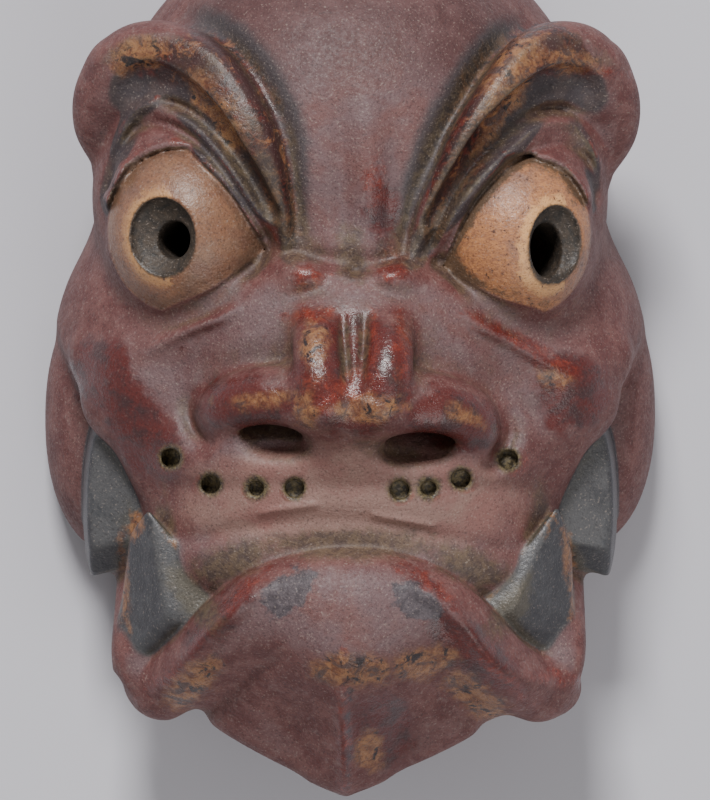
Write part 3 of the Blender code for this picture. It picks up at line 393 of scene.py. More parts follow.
def cheek(p, s, x):
    """Cheek with the ridge under the eye, the knob, and the slanting edge down to the mouth."""
    f = ball(p, (x * 3.0, -0.6, 3.0), (12.8, 11.6, 12.1), power=2.3)
    f = keep(f, side(p, (x * 12.3, -3.9, 0), (x * 0.87, -0.5, -0.05)), 0.6)
    f = join(f, rod(p, CHEEK_RIDGES[s]), 0.7)
    f = join(f, ball(p, (x * 11.0, -1.2, 10.0), (2.2, 2.2, 3.0)), 1.8)
    pad = [(x * 12.4, -2.4, 9.6, 1.5), (x * 10.6, -3.2, 11.5, 1.4), (x * 8.8, -4.4, 12.8, 1.1)]
    f = join(f, rod(p, pad), 1.0)
    slope = [(x * 2.4, 4.6, 13.6, 1.4), (x * 3.4, 2.2, 14.9, 1.9), (x * 4.6, -0.4, 15.2, 1.9)]
    return join(f, rod(p, slope), 3.0)


def nose(p):
    """Bridge, the two lumps that run to the tip, and the knots at the root."""
    bridge = rod(p, [(0.1, 5.6, 12.6, 2.6), (0.2, 2.6, 14.9, 2.9), (0.2, -1.8, 17.2, 3.1)])
    left = [(-1.7, 2.1, 17.2, 0.9), (-1.7, 0.9, 18.7, 1.15), (-1.6, -0.6, 19.5, 1.3), (-1.3, -2.1, 19.3, 1.7)]
    right = [(1.95, 2.1, 17.2, 0.9), (2.0, 0.9, 18.7, 1.15), (1.9, -0.6, 19.5, 1.3), (1.5, -2.1, 19.3, 1.7)]
    septum = rod(p, [(0.2, -2.4, 18.6, 1.5), (0.3, -3.6, 17.7, 1.1)])
    knots = ball(p, (-2.2, 4.6, 16.5), (0.8, 0.45, 0.8))
    knots = join(knots, ball(p, (2.1, 4.5, 16.8), (0.75, 0.5, 0.8)), 0.1)
    lumps = join(join(rod(p, left), rod(p, right), 0.7), septum, 0.8)
    return join(join(bridge, lumps, 0.8), knots, 0.5)


def globe(p, s, x):
    """The bulging eyeball, drawn out towards the corner beside the nose."""
    k = EYES[s]
    corner = rod(p, [(k["centre"][0], 6.8, 12.9, 3.6), (x * 5.6, 5.9, 13.1, 1.5)])
    return join(ball(p, k["centre"], k["radii"]), corner, 1.0)


def eye(p, f, s, x):
    """The lids, the eyeball in its opening, and the dished iris."""
    k = EYES[s]
    bulge = globe(p, s, x)
    window = teardrop(p, k["window"], k["size"], k["tip"])
    above = (p[:, :2] - np.asarray(k["tip"], p.dtype)) @ np.asarray(k["up"], p.dtype)
    thick = LID_THICKNESS / UNIT * (1.35 * np.clip((above + 0.5) / 1.2, 0, 1) - 0.35)
    f = join(f, bulge - thick * rise(window, 0, 0.35), 0.3 + 1.3 * rise(-above, 0.3, 2.6))
    f = cut(f, np.maximum(np.maximum(window, -bulge), 13.2 - p[:, 2]), 0.12)
    wide, high = [size / UNIT / 2 for size in k["across"]]
    return cut(f, ball(p, k["iris"], (wide, high, IRIS_DISH / UNIT), (0, k["tilt"], 0)), 0.1)


def upper_tusk(p, x):
    """A thick blade that comes down from under the edge of the cheek."""
    f = ball(p, (x * 10.1, -7.4, 4.6), (4.05, 6.9, 8.5), power=2.6)
    f = keep(f, side(p, (x * 13.0, -11.3, 4.0), (x * -0.28, -0.95, 0.0)), 0.2)
    f = keep(f, side(p, (x * 13.0, -9.8, 9.3), (x * 0.1, -0.75, 0.65)), 0.2)
    f = keep(f, side(p, (x * 13.9, -8.0, 9.0), (x * 0.36, -0.05, 0.93)), 0.25)
    return keep(f, side(p, (x * 13.6, -8.0, 3.4), (x * 0.5, -0.3, -0.8)), 1.0)


def lower_tusk(p, s, x):
    """A faceted tusk that points up at the corner of the mouth."""
    k = TUSKS[s]
    heart = (x * 10.3, -11.5, 10.0)
    f = facet(p, k["tip"], k["ridge"], k["inner"], heart)
    f = keep(f, facet(p, k["tip"], k["ridge"], k["low"], heart), 0.25)
    f = keep(f, facet(p, k["edge"], k["low"], (x * 11.6, -12.0, 6.0), heart), 0.3)
    f = keep(f, facet(p, k["tip"], k["edge"], (x * 10.8, -9.5, 9.0), heart), 0.2)
    f = keep(f, facet(p, k["tip"], k["inner"], (x * 8.6, -10.8, 8.0), heart), 0.2)
    f = keep(f, side(p, k["foot"], (x * 0.1, -0.80, 0.60)), 0.5)
    return keep(f, keep(side(p, (0, 0, 6.0), (0, 0, -1)), side(p, (0, -16.5, 0), (0, -1, 0)), 0.2), 0.2)


def chin(p):
    """The prow of the chin, with a ridge down its middle."""
    top = (-0.4, -16.9, 17.6)
    low = (-0.25, -23.0, 8.5)
    front = keep(side(p, top, (-0.40, -0.60, 0.69)), side(p, top, (0.38, -0.61, 0.69)), 0.3)
    wall = keep(side(p, low, (-0.48, -0.85, -0.2)), side(p, low, (0.44, -0.87, -0.2)), 0.6)
    f = ball(p, (0, -15.6, 2.0), (9.6, 8.6, 16.4), power=2.3)
    return keep(keep(f, front, 0.8), wall, 0.8)


def lower_lip(p):
    """The heavy roll of the lip, full in the middle."""
    return join(rod(p, LOWER_LIP), ball(p, (0.2, -14.4, 9.5), (5.8, 4.4, 9.2), power=2.2), 1.4)


def brow(p, s):
    """The raised brow and its swollen outer end."""
    return join(strip(p, BROWS[s]), rod(p, BROW_ENDS[s]), 1.2)


def mask(p):
    """The whole carving, hollowed at the back and with the cord bar across the hollow."""
    f = join(brow_and_forehead(p), upper_lip(p), 1.0)
    for s, x in SIDES:
        f = join(f, cheek(p, s, x), 1.2)
        f = join(f, ball(p, (x * 12.1, -3.0 + 0.4 * s, 2.0), (4.1, 7.4, 5.2), power=2.2), 0.5)
    f = join(f, nose(p), 2.2)
    for s, x in SIDES:
        f = join(f, ball(p, (x * 8.6, 8.9, 8.8), (5.0, 6.6, 7.0)), 1.2)
        f = cut(f, rod(p, NASAL_FOLDS[s]), 0.9)
    for s, x in SIDES:
        f = join(f, rod(p, WINGS[s]), 0.7)
        f = join(f, brow(p, s), 0.5)
        f = cut(f, rod(p, TROUGHS[s]), 0.35)
        f = eye(p, f, s, x)
    f = join(f, join(lower_lip(p), chin(p), 0.9), 0.35)
    for s, x in SIDES:
        f = join(f, upper_tusk(p, x), 0.15)
        f = join(f, lower_tusk(p, s, x), 0.35)
        cup = [(x * 11.0, -11.0, 6.0, 1.3), (x * 11.3, -13.8, 8.6, 1.1), (x * 11.1, -16.0, 9.9, 1.25),
               (x * 9.9, -17.4, 9.6, 1.7)]
        f = join(f, rod(p, cup), 0.8)
        k = NOSTRILS[s]
        size = (k["mouth"][0] / UNIT / 2, k["mouth"][1] / UNIT / 2, 2.5)
        dish = (k["centre"][0], k["centre"][1] - 0.9, k["centre"][2] + 1.3)
        f = cut(f, ball(p, dish, (size[0] * 1.05, 0.8, 1.6)), 0.8)
        f = cut(f, ball(p, k["centre"], size, (46, 0, k["turn"])), 0.2)
    for paths in RELIEF.values():
        for path in paths:
            f = f - stroke(p, path)
    f = cut(f, ball(p, (0.3, 5.0, 17.0), (0.5, 0.35, 0.6)), 0.4)
    f = cut(f, core(p) + WALL / UNIT, 0.4)
    middle = BAR_ABOVE_MIDDLE / UNIT
    tall = np.maximum(np.abs(p[:, 1] - middle) - BAR_WIDTH / UNIT / 2, p[:, 2] - BAR_THICKNESS / UNIT)
    return join(f, np.maximum(tall, np.abs(p[:, 0]) - 12.0), 0.5)


def carving(p):
    """The mask with its bores, cut flat at the rim."""
    f = mask(p)
    for k in EYES:
        lean = math.radians(k["lean"])
        q = p - np.asarray(k["pupil"], p.dtype)
        across = q[:, 0] * math.cos(lean) - q[:, 2] * math.sin(lean)
        along = q[:, 0] * math.sin(lean) + q[:, 2] * math.cos(lean)
        a, b = [size / UNIT / 2 for size in k["bore"]]
        tube = (np.sqrt((across / a) ** 2 + (q[:, 1] / b) ** 2) - 1) * min(a, b)
        f = cut(f, np.maximum(tube, np.abs(along + 3.0) - 6.5), 0.1)
    for x, y, top, small in WHISKERS:
        radius = (WHISKER_BORE_SMALL if small else WHISKER_BORE) / UNIT / 2
        tube = np.maximum(np.hypot(p[:, 0] - x, p[:, 1] - y) - radius, 10 - p[:, 2])
        f = cut(f, np.maximum(tube, -WHISKER_DEPTH / UNIT - f), 0.15)
    return np.maximum(f, -p[:, 2])


# From the carving to a mesh


def in_threads(field, points, share=60000):
    """A field's values at many points, worked out in equal shares side by side."""
    parts = [points[i:i + share] for i in range(0, len(points), share)]
    with ThreadPoolExecutor(WORKERS) as pool:
        return np.concatenate(list(pool.map(field, parts)))


def sampled(field, low, high, step, block=4):
    """The field on a grid, true near the surface and only its sign elsewhere."""
    size = (np.ceil((np.asarray(high) - low) / step / block) * block).astype(int) + 1
    axes = [low[i] + step * np.arange(size[i]) for i in range(3)]
    coarse = np.stack(np.meshgrid(*[a[::block] for a in axes], indexing="ij"), -1)
    value = in_threads(field, coarse.reshape(-1, 3).astype(np.float32)).reshape(coarse.shape[:3])
    close = np.abs(value) < step * block * 1.9
    grid = np.where(value > 0, 1, -1).astype(np.float32)
    fine = np.zeros(close.shape, bool)
    for shift in np.ndindex(2, 2, 2):
        part = close[tuple(slice(s, n - 1 + s) for s, n in zip(shift, close.shape))]
        fine[:-1, :-1, :-1] |= part
    for i in range(3):
        grid = np.repeat(grid, block, i)
        fine = np.repeat(fine, block, i)
    grid = grid[:size[0], :size[1], :size[2]]
    fine = fine[:size[0], :size[1], :size[2]]
    for i in range(3):
        fine = fine | np.roll(fine, 1, i)
    where = np.argwhere(fine)
    grid[fine] = in_threads(field, (np.asarray(low) + where * step).astype(np.float32))
    return grid


def without_pinches(grid, rounds=12):
    """The grid with every place opened where two parts of the surface would touch at an edge."""
    for _ in range(rounds):
        inside = grid < 0
        opened = np.zeros(grid.shape, bool)
        for a, b in ((0, 1), (1, 2), (0, 2)):
            corner = {}
            for u, v in np.ndindex(2, 2):
                pick = [slice(None)] * 3
                pick[a] = slice(u, grid.shape[a] - 1 + u)
                pick[b] = slice(v, grid.shape[b] - 1 + v)
                corner[u, v] = tuple(pick)
            first = inside[corner[0, 0]] & inside[corner[1, 1]]
            first &= ~inside[corner[1, 0]] & ~inside[corner[0, 1]]
            second = inside[corner[1, 0]] & inside[corner[0, 1]]
            second &= ~inside[corner[0, 0]] & ~inside[corner[1, 1]]
            opened[corner[0, 0]] |= first
            opened[corner[1, 0]] |= second
        if not opened.any():
            break
        grid[opened] = 0.02
    return grid


def polygonised(grid, low, step):
    """Points and quads of the surface where a sampled field changes sign."""
    inside = grid < 0
    cells = tuple(n - 1 for n in grid.shape)
    total = np.zeros(cells + (3,), np.float32)
    count = np.zeros(cells, np.int16)
    for axis in range(3):
        others = [i for i in range(3) if i != axis]
        a = np.moveaxis(grid, axis, 0)
        crossed = (a[:-1] < 0) != (a[1:] < 0)
        share = np.where(crossed, a[:-1] / np.where(crossed, a[:-1] - a[1:], 1), 0)
        for u, v in np.ndindex(2, 2):
            pick = (slice(None), slice(u, a.shape[1] - 1 + u), slice(v, a.shape[2] - 1 + v))
            c = np.moveaxis(crossed[pick], 0, axis)
            count += c
            total[..., axis] += np.moveaxis(share[pick], 0, axis)
            total[..., others[0]] += c * u
            total[..., others[1]] += c * v
    used = count > 0
    index = np.full(cells, -1, np.int32)
    index[used] = np.arange(used.sum())
    points = low + step * (np.argwhere(used) + total[used] / count[used][:, None])
    quads = []
    for axis in range(3):
        others = [i for i in range(3) if i != axis]
        near = [slice(1, -1)] * 3
        far = [slice(1, -1)] * 3
        near[axis] = slice(0, -1)
        far[axis] = slice(1, None)
        here = inside[tuple(near)]
        changed = here != inside[tuple(far)]
        at = np.argwhere(changed) + [int(i != axis) for i in range(3)]
        ring = []
        for u, v in ((0, 0), (1, 0), (1, 1), (0, 1)):
            cell = at.copy()
            cell[:, others[0]] -= u
            cell[:, others[1]] -= v
            ring.append(index[cell[:, 0], cell[:, 1], cell[:, 2]])
        ring = np.stack(ring, 1)
        back = here[changed] == (axis == 1)
        ring[back] = ring[back][:, ::-1]
        quads.append(ring)
    return points, np.concatenate(quads)


# The mesh of the mask, fitted to the frame's box


low = np.array([-17.63, -24.27, -0.5 * GRID - 3 * GRID])
grid = without_pinches(sampled(carving, low, (17.6, 24.2, 23.2), GRID))
points, quads = polygonised(grid, low, GRID)
most, least = points.max(0), points.min(0)
least[2] = 0.0
box_low, box_high = [np.array(corner) for corner in cad_box]
scale = (box_high - box_low) / (most - least)

raw = bpy.data.meshes.new("raw")
raw.from_pydata(((points - least) * scale + box_low).tolist(), [], quads.tolist())
carved = bpy.data.objects.new("mask_carving", raw)
bpy.context.scene.collection.objects.link(carved)
fewer = carved.modifiers.new("fewer_faces", "DECIMATE")
fewer.ratio = min(1.0, TRIANGLES / (2 * len(quads)))
mesh = bpy.data.meshes.new_from_object(carved.evaluated_get(bpy.context.evaluated_depsgraph_get()))
carved.modifiers.remove(fewer)
carved.data = mesh
bpy.data.meshes.remove(raw)
mesh.name = "mask_carving"
mesh.polygons.foreach_set("use_smooth", [True] * len(mesh.polygons))


# What the surface is like at each point of the mesh


count = len(mesh.vertices)
places = np.zeros(count * 3, np.float32)
mesh.vertices.foreach_get("co", places)
normals = np.zeros(count * 3, np.float32)
mesh.vertices.foreach_get("normal", normals)
places = ((places.reshape(-1, 3) - box_low) / scale + least).astype(np.float32)
normals = normals.reshape(-1, 3) * scale
normals = (normals / np.linalg.norm(normals, axis=1)[:, None]).astype(np.float32)


def field_at(distance):
    return in_threads(carving, places + normals * np.float32(distance))


def named(name, values):
    """Keeps one value for each point of the mesh, for the material to read."""
    mesh.attributes.new(name, "FLOAT", "POINT").data.foreach_set("value", values.astype(np.float32))


def patches(kind):
    """How far inside the nearest worn patch of a kind a point lies, in plan, less than zero outside."""
    best = np.full(count, -2.0)
    for name, x, y, wide, high, degrees in PATCHES:
        if name != kind:
            continue
        c, s = math.cos(math.radians(degrees)), math.sin(math.radians(degrees))
        u, v = places[:, 0] - x, places[:, 1] - y
        far = np.hypot((c * u + s * v) / wide, (c * v - s * u) / high)
        best = np.maximum(best, (1 - far) * min(wide, high))
    return np.where(normals[:, 2] > -0.1, best, -2.0)


# The crests of the brows in plan: x away from the middle, y and half width
BROW_CRESTS = [
    [(9.2, 16.0, 1.3), (7.3, 15.8, 1.7), (5.7, 14.2, 1.5), (4.5, 11.8, 1.2), (3.7, 9.1, 0.9), (3.2, 6.4, 0.5)],
    [(11.6, 16.4, 1.1), (9.0, 16.5, 1.6), (7.3, 14.6, 1.4), (5.9, 12.0, 1.1), (4.9, 9.1, 0.8), (4.3, 6.6, 0.5)]]

# Worn, painted and dirty places of the front, and spots of painted shade along the mouth and nose: kind, middle and
# half sizes in plan, turn in degrees
PATCHES = [
    ("oxblood", -7.9, 16.4, 1.8, 1.2, -20), ("oxblood", -4.3, 10.4, 2.2, 0.9, -70),
    ("oxblood", -6.6, 14.3, 2.0, 1.2, -50), ("red", -5.3, 15.0, 1.7, 0.45, -50),
    ("red", -3.3, 9.2, 1.9, 0.3, -80), ("wood", -7.3, 14.0, 1.6, 0.8, -45),
    ("wood", -6.3, 12.2, 1.4, 0.6, -62), ("wood", -11.0, 16.4, 1.5, 0.9, 20),
    ("red", -9.6, 15.6, 1.2, 0.3, 0),
    ("wood", 8.6, 15.8, 2.0, 1.0, 45), ("wood", 8.0, 13.7, 1.8, 0.75, 48), ("wood", 7.2, 11.9, 1.1, 0.4, 60),
    ("wood", 11.6, 16.0, 1.3, 0.5, -5), ("slate", 10.6, 17.3, 1.2, 0.7, -10),
    ("slate", 6.5, 13.1, 1.3, 0.55, 58), ("slate", 5.4, 10.9, 1.5, 0.8, 60), ("slate", 3.8, 6.4, 1.2, 0.5, 62),
    ("oxblood", 5.9, 10.4, 2.4, 0.8, 60), ("red", 12.2, 15.6, 1.8, 0.22, -6), ("red", 6.0, 10.2, 1.2, 0.5, 50),
    ("red", 1.2, 9.6, 0.4, 0.8, 0), ("red", -2.2, 4.4, 0.9, 0.6, 0),
    ("red", 2.4, 5.2, 0.7, 1.0, 0), ("oxblood", 1.9, 7.9, 1.0, 1.8, 0),
    ("wood", -1.8, 0.9, 0.75, 1.3, 0), ("red", -1.9, 2.4, 1.2, 0.5, 0), ("red", 1.05, 0.9, 0.35, 1.5, 0),
    ("red", 2.7, 0.2, 0.4, 1.8, 0), ("red", 0.4, -1.3, 1.1, 1.0, 0), ("red", -1.6, -1.6, 1.2, 1.1, 0),
    ("wood", 0.9, -2.5, 1.9, 0.8, 0), ("wood", -2.3, -2.6, 0.65, 0.7, 0), ("wood", -4.8, -2.0, 1.6, 0.4, 5),
    ("oxblood", -5.6, -2.3, 2.6, 1.6, 0), ("oxblood", 5.4, -3.2, 2.6, 1.7, -20), ("oxblood", 0.2, -0.6, 3.2, 3.4, 0),
    ("wood", 6.3, -3.0, 1.1, 0.35, -25),
    ("oxblood", -13.0, -0.6, 1.8, 2.0, 0), ("oxblood", -11.0, -3.4, 1.5, 3.2, 25),
    ("oxblood", 11.6, -1.6, 2.0, 2.2, 0), ("wood", 10.7, -0.9, 0.9, 0.5, -20), ("red", 10.9, -0.2, 1.3, 0.5, -20),
    ("red", 8.6, 1.2, 1.9, 0.35, -25),
    ("wood", -8.3, -17.2, 1.9, 0.9, 40), ("oxblood", -6.8, -13.6, 2.4, 0.9, 48), ("slate", -3.2, -12.2, 1.7, 1.0, 40),
    ("red", -5.6, -12.2, 1.2, 0.25, 45), ("wood", 0.2, -16.4, 2.2, 0.8, 0), ("wood", 3.9, -16.0, 1.8, 0.9, 10),
    ("wood", 6.6, -17.8, 2.1, 0.8, -35), ("slate", 3.6, -12.6, 1.5, 1.0, -40), ("oxblood", 6.4, -15.4, 3.0, 1.3, -45),
    ("red", 4.4, -12.0, 1.4, 0.25, -35), ("red", 7.8, -16.6, 2.0, 0.3, -40), ("red", 11.2, -16.9, 1.2, 0.3, -10),
    ("red", -9.6, -16.9, 1.6, 0.3, 35), ("red", -0.35, -20.3, 0.3, 2.8, 0), ("slate", -0.1, -20.5, 0.2, 2.6, 0), ("wood", 1.0, -20.7, 0.7, 1.1, 0),
    ("oxblood", 1.5, -19.6, 2.0, 2.2, 0),
    ("pale", 0.0, -7.4, 8.5, 3.0, 0), ("ochre", -11.9, -11.9, 0.3, 2.2, 4), ("ochre", -11.4, -8.7, 0.5, 0.8, 0),
    ("ochre", 11.5, -10.6, 0.35, 1.6, 8), ("ochre", 11.9, -13.2, 0.3, 0.9, 0),
    # Olive dirt with painted shade along the mouth line, in its corners, at the root of the nose and under it
    ("dirt_and_shade_spots", 0.0, -9.7, 4.5, 0.8, 0), ("dirt_and_shade_spots", -6.2, -10.6, 2.2, 0.9, 20), ("dirt_and_shade_spots", 6.4, -10.9, 2.2, 0.9, -20),
    ("dirt_and_shade_spots", -8.2, -12.6, 2.0, 0.8, -50), ("dirt_and_shade_spots", 8.6, -13.0, 2.0, 0.8, 50), ("dirt_and_shade_spots", 0.3, 4.9, 0.8, 0.7, 0),
    ("dirt_and_shade_spots", 0.0, 5.9, 0.7, 1.4, 0), ("dirt_and_shade_spots", 2.2, -4.8, 1.6, 0.5, -10)]
PATCHES += [("olive", x, y, 0.68, 0.68, 0) for x, y, top, small in WHISKERS]



def brow_crest(s, x):
    """How near a point lies to the polished crest of a brow, in plan, from 0 to 1."""
    return stroke(places, [(x * out, y, wide, 1.0) for out, y, wide in BROW_CRESTS[s]])


is_iris = np.zeros(count)
is_gilt = np.zeros(count)
is_tusk = np.zeros(count)
is_painted_brow_shade = np.zeros(count)
is_rubbed = np.zeros(count)
is_band = np.zeros(count)
is_brow = np.zeros(count)
for s, x in SIDES:
    k = EYES[s]
    window = teardrop(places, k["window"], k["size"], k["tip"])
    bulge = globe(places, s, x)
    tilt = math.radians(k["tilt"])
    q = places - np.asarray(k["iris"], np.float32)
    wide, high = [size / UNIT / 2 for size in k["across"]]
    across = np.hypot((q[:, 0] * math.cos(tilt) - q[:, 2] * math.sin(tilt)) / wide, q[:, 1] / high)
    along = q[:, 0] * math.sin(tilt) + q[:, 2] * math.cos(tilt)
    iris = rise(-across, -1.07, -0.99) * (along > -7) * (along < 2)
    is_iris = np.maximum(is_iris, iris)
    is_gilt = np.maximum(is_gilt, rise(-window, -0.12, 0.02) * rise(-np.abs(bulge), -0.4, -0.1) * (places[:, 2] > 11))
    is_tusk = np.maximum(is_tusk, rise(-lower_tusk(places, s, x), -0.16, -0.04))
    is_tusk = np.maximum(is_tusk, rise(-upper_tusk(places, x), -0.16, -0.04))
    # The hollow under each brow, which the material darkens as painted shade
    is_painted_brow_shade = np.maximum(is_painted_brow_shade, rise(-rod(places, TROUGHS[s]), -0.5, 0.1))
    is_brow = np.maximum(is_brow, brow_crest(s, x))
    is_rubbed = np.maximum(is_rubbed, rise(-across, -1.8, -1.0) * (q[:, 0] < 0.5))
    grooves = [(u, v, wide * 2.2, -high * 3) for u, v, wide, high in RELIEF["grooves along the brows"][s]]
    is_band = np.maximum(is_band, stroke(places, grooves))
named("gilt", is_gilt)
named("rubbed", is_rubbed)
named("dull", is_gilt * (places[:, 0] < 0) * (1 - 0.5 * is_rubbed))
named("band", is_band)
named("brow", is_brow)
named("crown", rise(places[:, 1], 13.0, 17.0) * rise(-np.abs(places[:, 0]), -9.0, -7.0))
named("iris", is_iris)
named("tusk", is_tusk)
named("painted_brow_shade", is_painted_brow_shade)
for kind in ("oxblood", "red", "wood", "slate", "dirt_and_shade_spots", "pale", "ochre", "olive"):
    named(kind, patches(kind))
# How closed in each point lies, from the field a little way out along its normal; the material paints shade by it,
# and wears the lacquer less there
hollows = sum(np.clip(1 - field_at(d) / d, 0, 1) for d in (0.4, 1.0, 2.4)) / 3
edges = np.clip(1 + field_at(-0.45) / 0.45, 0, 1)
named("hollows", hollows)
named("edges", edges)
named("up", np.clip(normals[:, 2], 0, 1))
named("back", rise(-normals[:, 2], 0.05, 0.4))


# Materials


def colour(red, green, blue):
    """A shader colour from the values of a screen colour."""
    return tuple(v / 12.92 if v < 0.04045 else ((v + 0.055) / 1.055) ** 2.4
                 for v in (red / 255, green / 255, blue / 255)) + (1.0,)


class Graph:
    """A short way to write the nodes of one material."""

    def __init__(self, name):
        self.material = bpy.data.materials.new(name)
        self.material.use_nodes = True
        self.tree = self.material.node_tree
        self.shader = self.tree.nodes["Principled BSDF"]
        self.place = self.tree.nodes.new("ShaderNodeTexCoord").outputs["Object"]

    def put(self, socket, value):
        if isinstance(value, bpy.types.NodeSocket):
            self.tree.links.new(value, socket)
        else:
            socket.default_value = value

    def value(self, name):
        node = self.tree.nodes.new("ShaderNodeAttribute")
        node.attribute_name = name
        return node.outputs["Fac"]

    def noise(self, size, detail=3.0, rough=0.55, bend=0.0, stretch=(1, 1, 1)):
        """Noise whose lumps are about size millimetres across, from 0 to 1."""
        scaled = self.tree.nodes.new("ShaderNodeMapping")
        self.put(scaled.inputs["Vector"], self.place)
        scaled.inputs["Scale"].default_value = [1000.0 / size * v for v in stretch]
        node = self.tree.nodes.new("ShaderNodeTexNoise")
        self.put(node.inputs["Vector"], scaled.outputs["Vector"])
        node.inputs["Scale"].default_value = 1.0
        node.inputs["Detail"].default_value = detail
        node.inputs["Roughness"].default_value = rough
        node.inputs["Distortion"].default_value = bend
        return node.outputs["Fac"]

    def cells(self, size):
        """Distance to the nearest of scattered points about size millimetres apart."""
        scaled = self.tree.nodes.new("ShaderNodeMapping")
        self.put(scaled.inputs["Vector"], self.place)
        scaled.inputs["Scale"].default_value = [1000.0 / size] * 3
        node = self.tree.nodes.new("ShaderNodeTexVoronoi")
        self.put(node.inputs["Vector"], scaled.outputs["Vector"])
        node.inputs["Scale"].default_value = 1.0
        return node.outputs["Distance"]

    def sum(self, kind, a, b):
        node = self.tree.nodes.new("ShaderNodeMath")
        node.operation = kind
        self.put(node.inputs[0], a)
        self.put(node.inputs[1], b)
        return node.outputs[0]

    def ramp(self, value, low, high, to_low=0.0, to_high=1.0):
        node = self.tree.nodes.new("ShaderNodeMapRange")
        node.interpolation_type = "SMOOTHSTEP"
        self.put(node.inputs["Value"], value)
        node.inputs["From Min"].default_value = low
        node.inputs["From Max"].default_value = high
        node.inputs["To Min"].default_value = to_low
        node.inputs["To Max"].default_value = to_high
        return node.outputs["Result"]

    def mix(self, share, first, second, kind="MIX"):
        node = self.tree.nodes.new("ShaderNodeMix")
        node.data_type = "RGBA"
        node.blend_type = kind
        self.put(node.inputs[0], share)
        self.put(node.inputs[6], first)
        self.put(node.inputs[7], second)
        return node.outputs[2]

    def blend(self, share, first, second):
        node = self.tree.nodes.new("ShaderNodeMix")
        node.data_type = "FLOAT"
        self.put(node.inputs[0], share)
        self.put(node.inputs[2], first)
        self.put(node.inputs[3], second)
        return node.outputs[0]

    def ragged(self, name, amount, size, soft=0.05, shift=0.0):
        """A patch with a broken edge, from how far inside it a point lies."""
        wander = self.sum("MULTIPLY", self.sum("SUBTRACT", self.noise(size, 5.0, 0.65), 0.5), amount)
        return self.ramp(self.sum("ADD", self.value(name), wander), shift - soft, shift + soft)


g = Graph("worn_lacquer")
fine = g.noise(0.12, 2.0, 0.6)
grain = g.noise(0.22, 3.0, 0.65)
blots = g.noise(0.55, 4.0, 0.7, 0.6)
drift = g.noise(1.3, 5.0, 0.68, 0.3)
cloud = g.noise(3.4, 4.0, 0.6, 0.4)
hollow = g.value("hollows")
edge = g.value("edges")
uneven = g.sum("SUBTRACT", drift, 0.5)
mottled = g.sum("SUBTRACT", blots, 0.5)

# Dark red-brown lacquer under a mauve bloom of dust, thickest where the face looks up
bloom = g.sum("ADD", g.ramp(g.value("up"), 0.55, 0.98), g.sum("MULTIPLY", uneven, 0.9))
bloom = g.ramp(g.sum("ADD", bloom, g.sum("MULTIPLY", g.sum("SUBTRACT", cloud, 0.5), 1.3)), 0.05, 0.95)
lacquer = g.mix(g.ramp(drift, 0.36, 0.64), colour(84, 44, 42), colour(104, 66, 62))
skin = g.mix(bloom, lacquer, g.mix(g.ramp(cloud, 0.4, 0.65), colour(93, 71, 72), colour(96, 63, 60)))
skin = g.mix(g.sum("MULTIPLY", g.ramp(blots, 0.55, 0.66), 0.4), skin, colour(74, 36, 34))
skin = g.mix(g.sum("MULTIPLY", g.ramp(blots, 0.45, 0.34), 0.3), skin, colour(122, 102, 98))
rough = g.ramp(grain, 0.3, 0.7, 0.52, 0.74)
pale = g.ragged("pale", 1.6, 1.6, 0.7)
skin = g.mix(g.sum("MULTIPLY", pale, 0.8), skin, g.mix(g.ramp(cloud, 0.4, 0.62), colour(128, 98, 88), colour(122, 84, 77)))
skin = g.mix(g.sum("MULTIPLY", g.value("crown"), 0.8), skin, g.mix(g.ramp(drift, 0.4, 0.65), colour(66, 38, 37), colour(80, 52, 51)))
# Glossy oxblood where hands have polished the lacquer
ox = g.ragged("oxblood", 2.4, 1.5, 0.4)
deep = g.mix(g.ramp(drift, 0.4, 0.62), colour(78, 26, 23), colour(50, 26, 28))
skin = g.mix(g.sum("MULTIPLY", ox, 0.85), skin, deep)
rough = g.blend(ox, rough, g.ramp(blots, 0.4, 0.65, 0.20, 0.36))
# Grey-green bands beside the brows, and painted shade: dark grey in the hollows under the brows, over the eyes
band = g.ramp(g.sum("ADD", g.value("band"), g.sum("MULTIPLY", uneven, 0.6)), 0.25, 0.75)
skin = g.mix(g.sum("MULTIPLY", band, 0.8), skin, g.mix(grain, colour(42, 42, 44), colour(64, 62, 64)))
painted_brow_shade = g.ramp(g.sum("ADD", g.value("painted_brow_shade"), g.sum("MULTIPLY", uneven, 0.8)), 0.15, 0.7)
skin = g.mix(g.sum("MULTIPLY", painted_brow_shade, 0.85), skin, g.mix(g.ramp(drift, 0.4, 0.65), colour(38, 36, 40), colour(58, 50, 49)))
# Blue-black remains of the dark coat
slate = g.ragged("slate", 1.8, 0.9, 0.15)
skin = g.mix(g.sum("MULTIPLY", slate, 0.85), skin, g.mix(g.ramp(blots, 0.35, 0.65), colour(42, 40, 46), colour(78, 72, 76)))
# Red ground worn through at edges and in streaks
worn = g.sum("ADD", g.ramp(edge, 0.2, 0.55), g.sum("MULTIPLY", g.sum("SUBTRACT", drift, 0.62), 2.2))
worn = g.sum("MULTIPLY", g.ramp(worn, 0.5, 1.0), g.ramp(hollow, 0.5, 0.3))
red = g.sum("MAXIMUM", g.ragged("red", 1.6, 0.7, 0.3), g.sum("MULTIPLY", worn, 0.7))
skin = g.mix(g.sum("MULTIPLY", red, 0.75), skin, g.mix(g.ramp(blots, 0.42, 0.66), colour(84, 26, 20), colour(124, 48, 32)))
rough = g.blend(red, rough, 0.26)
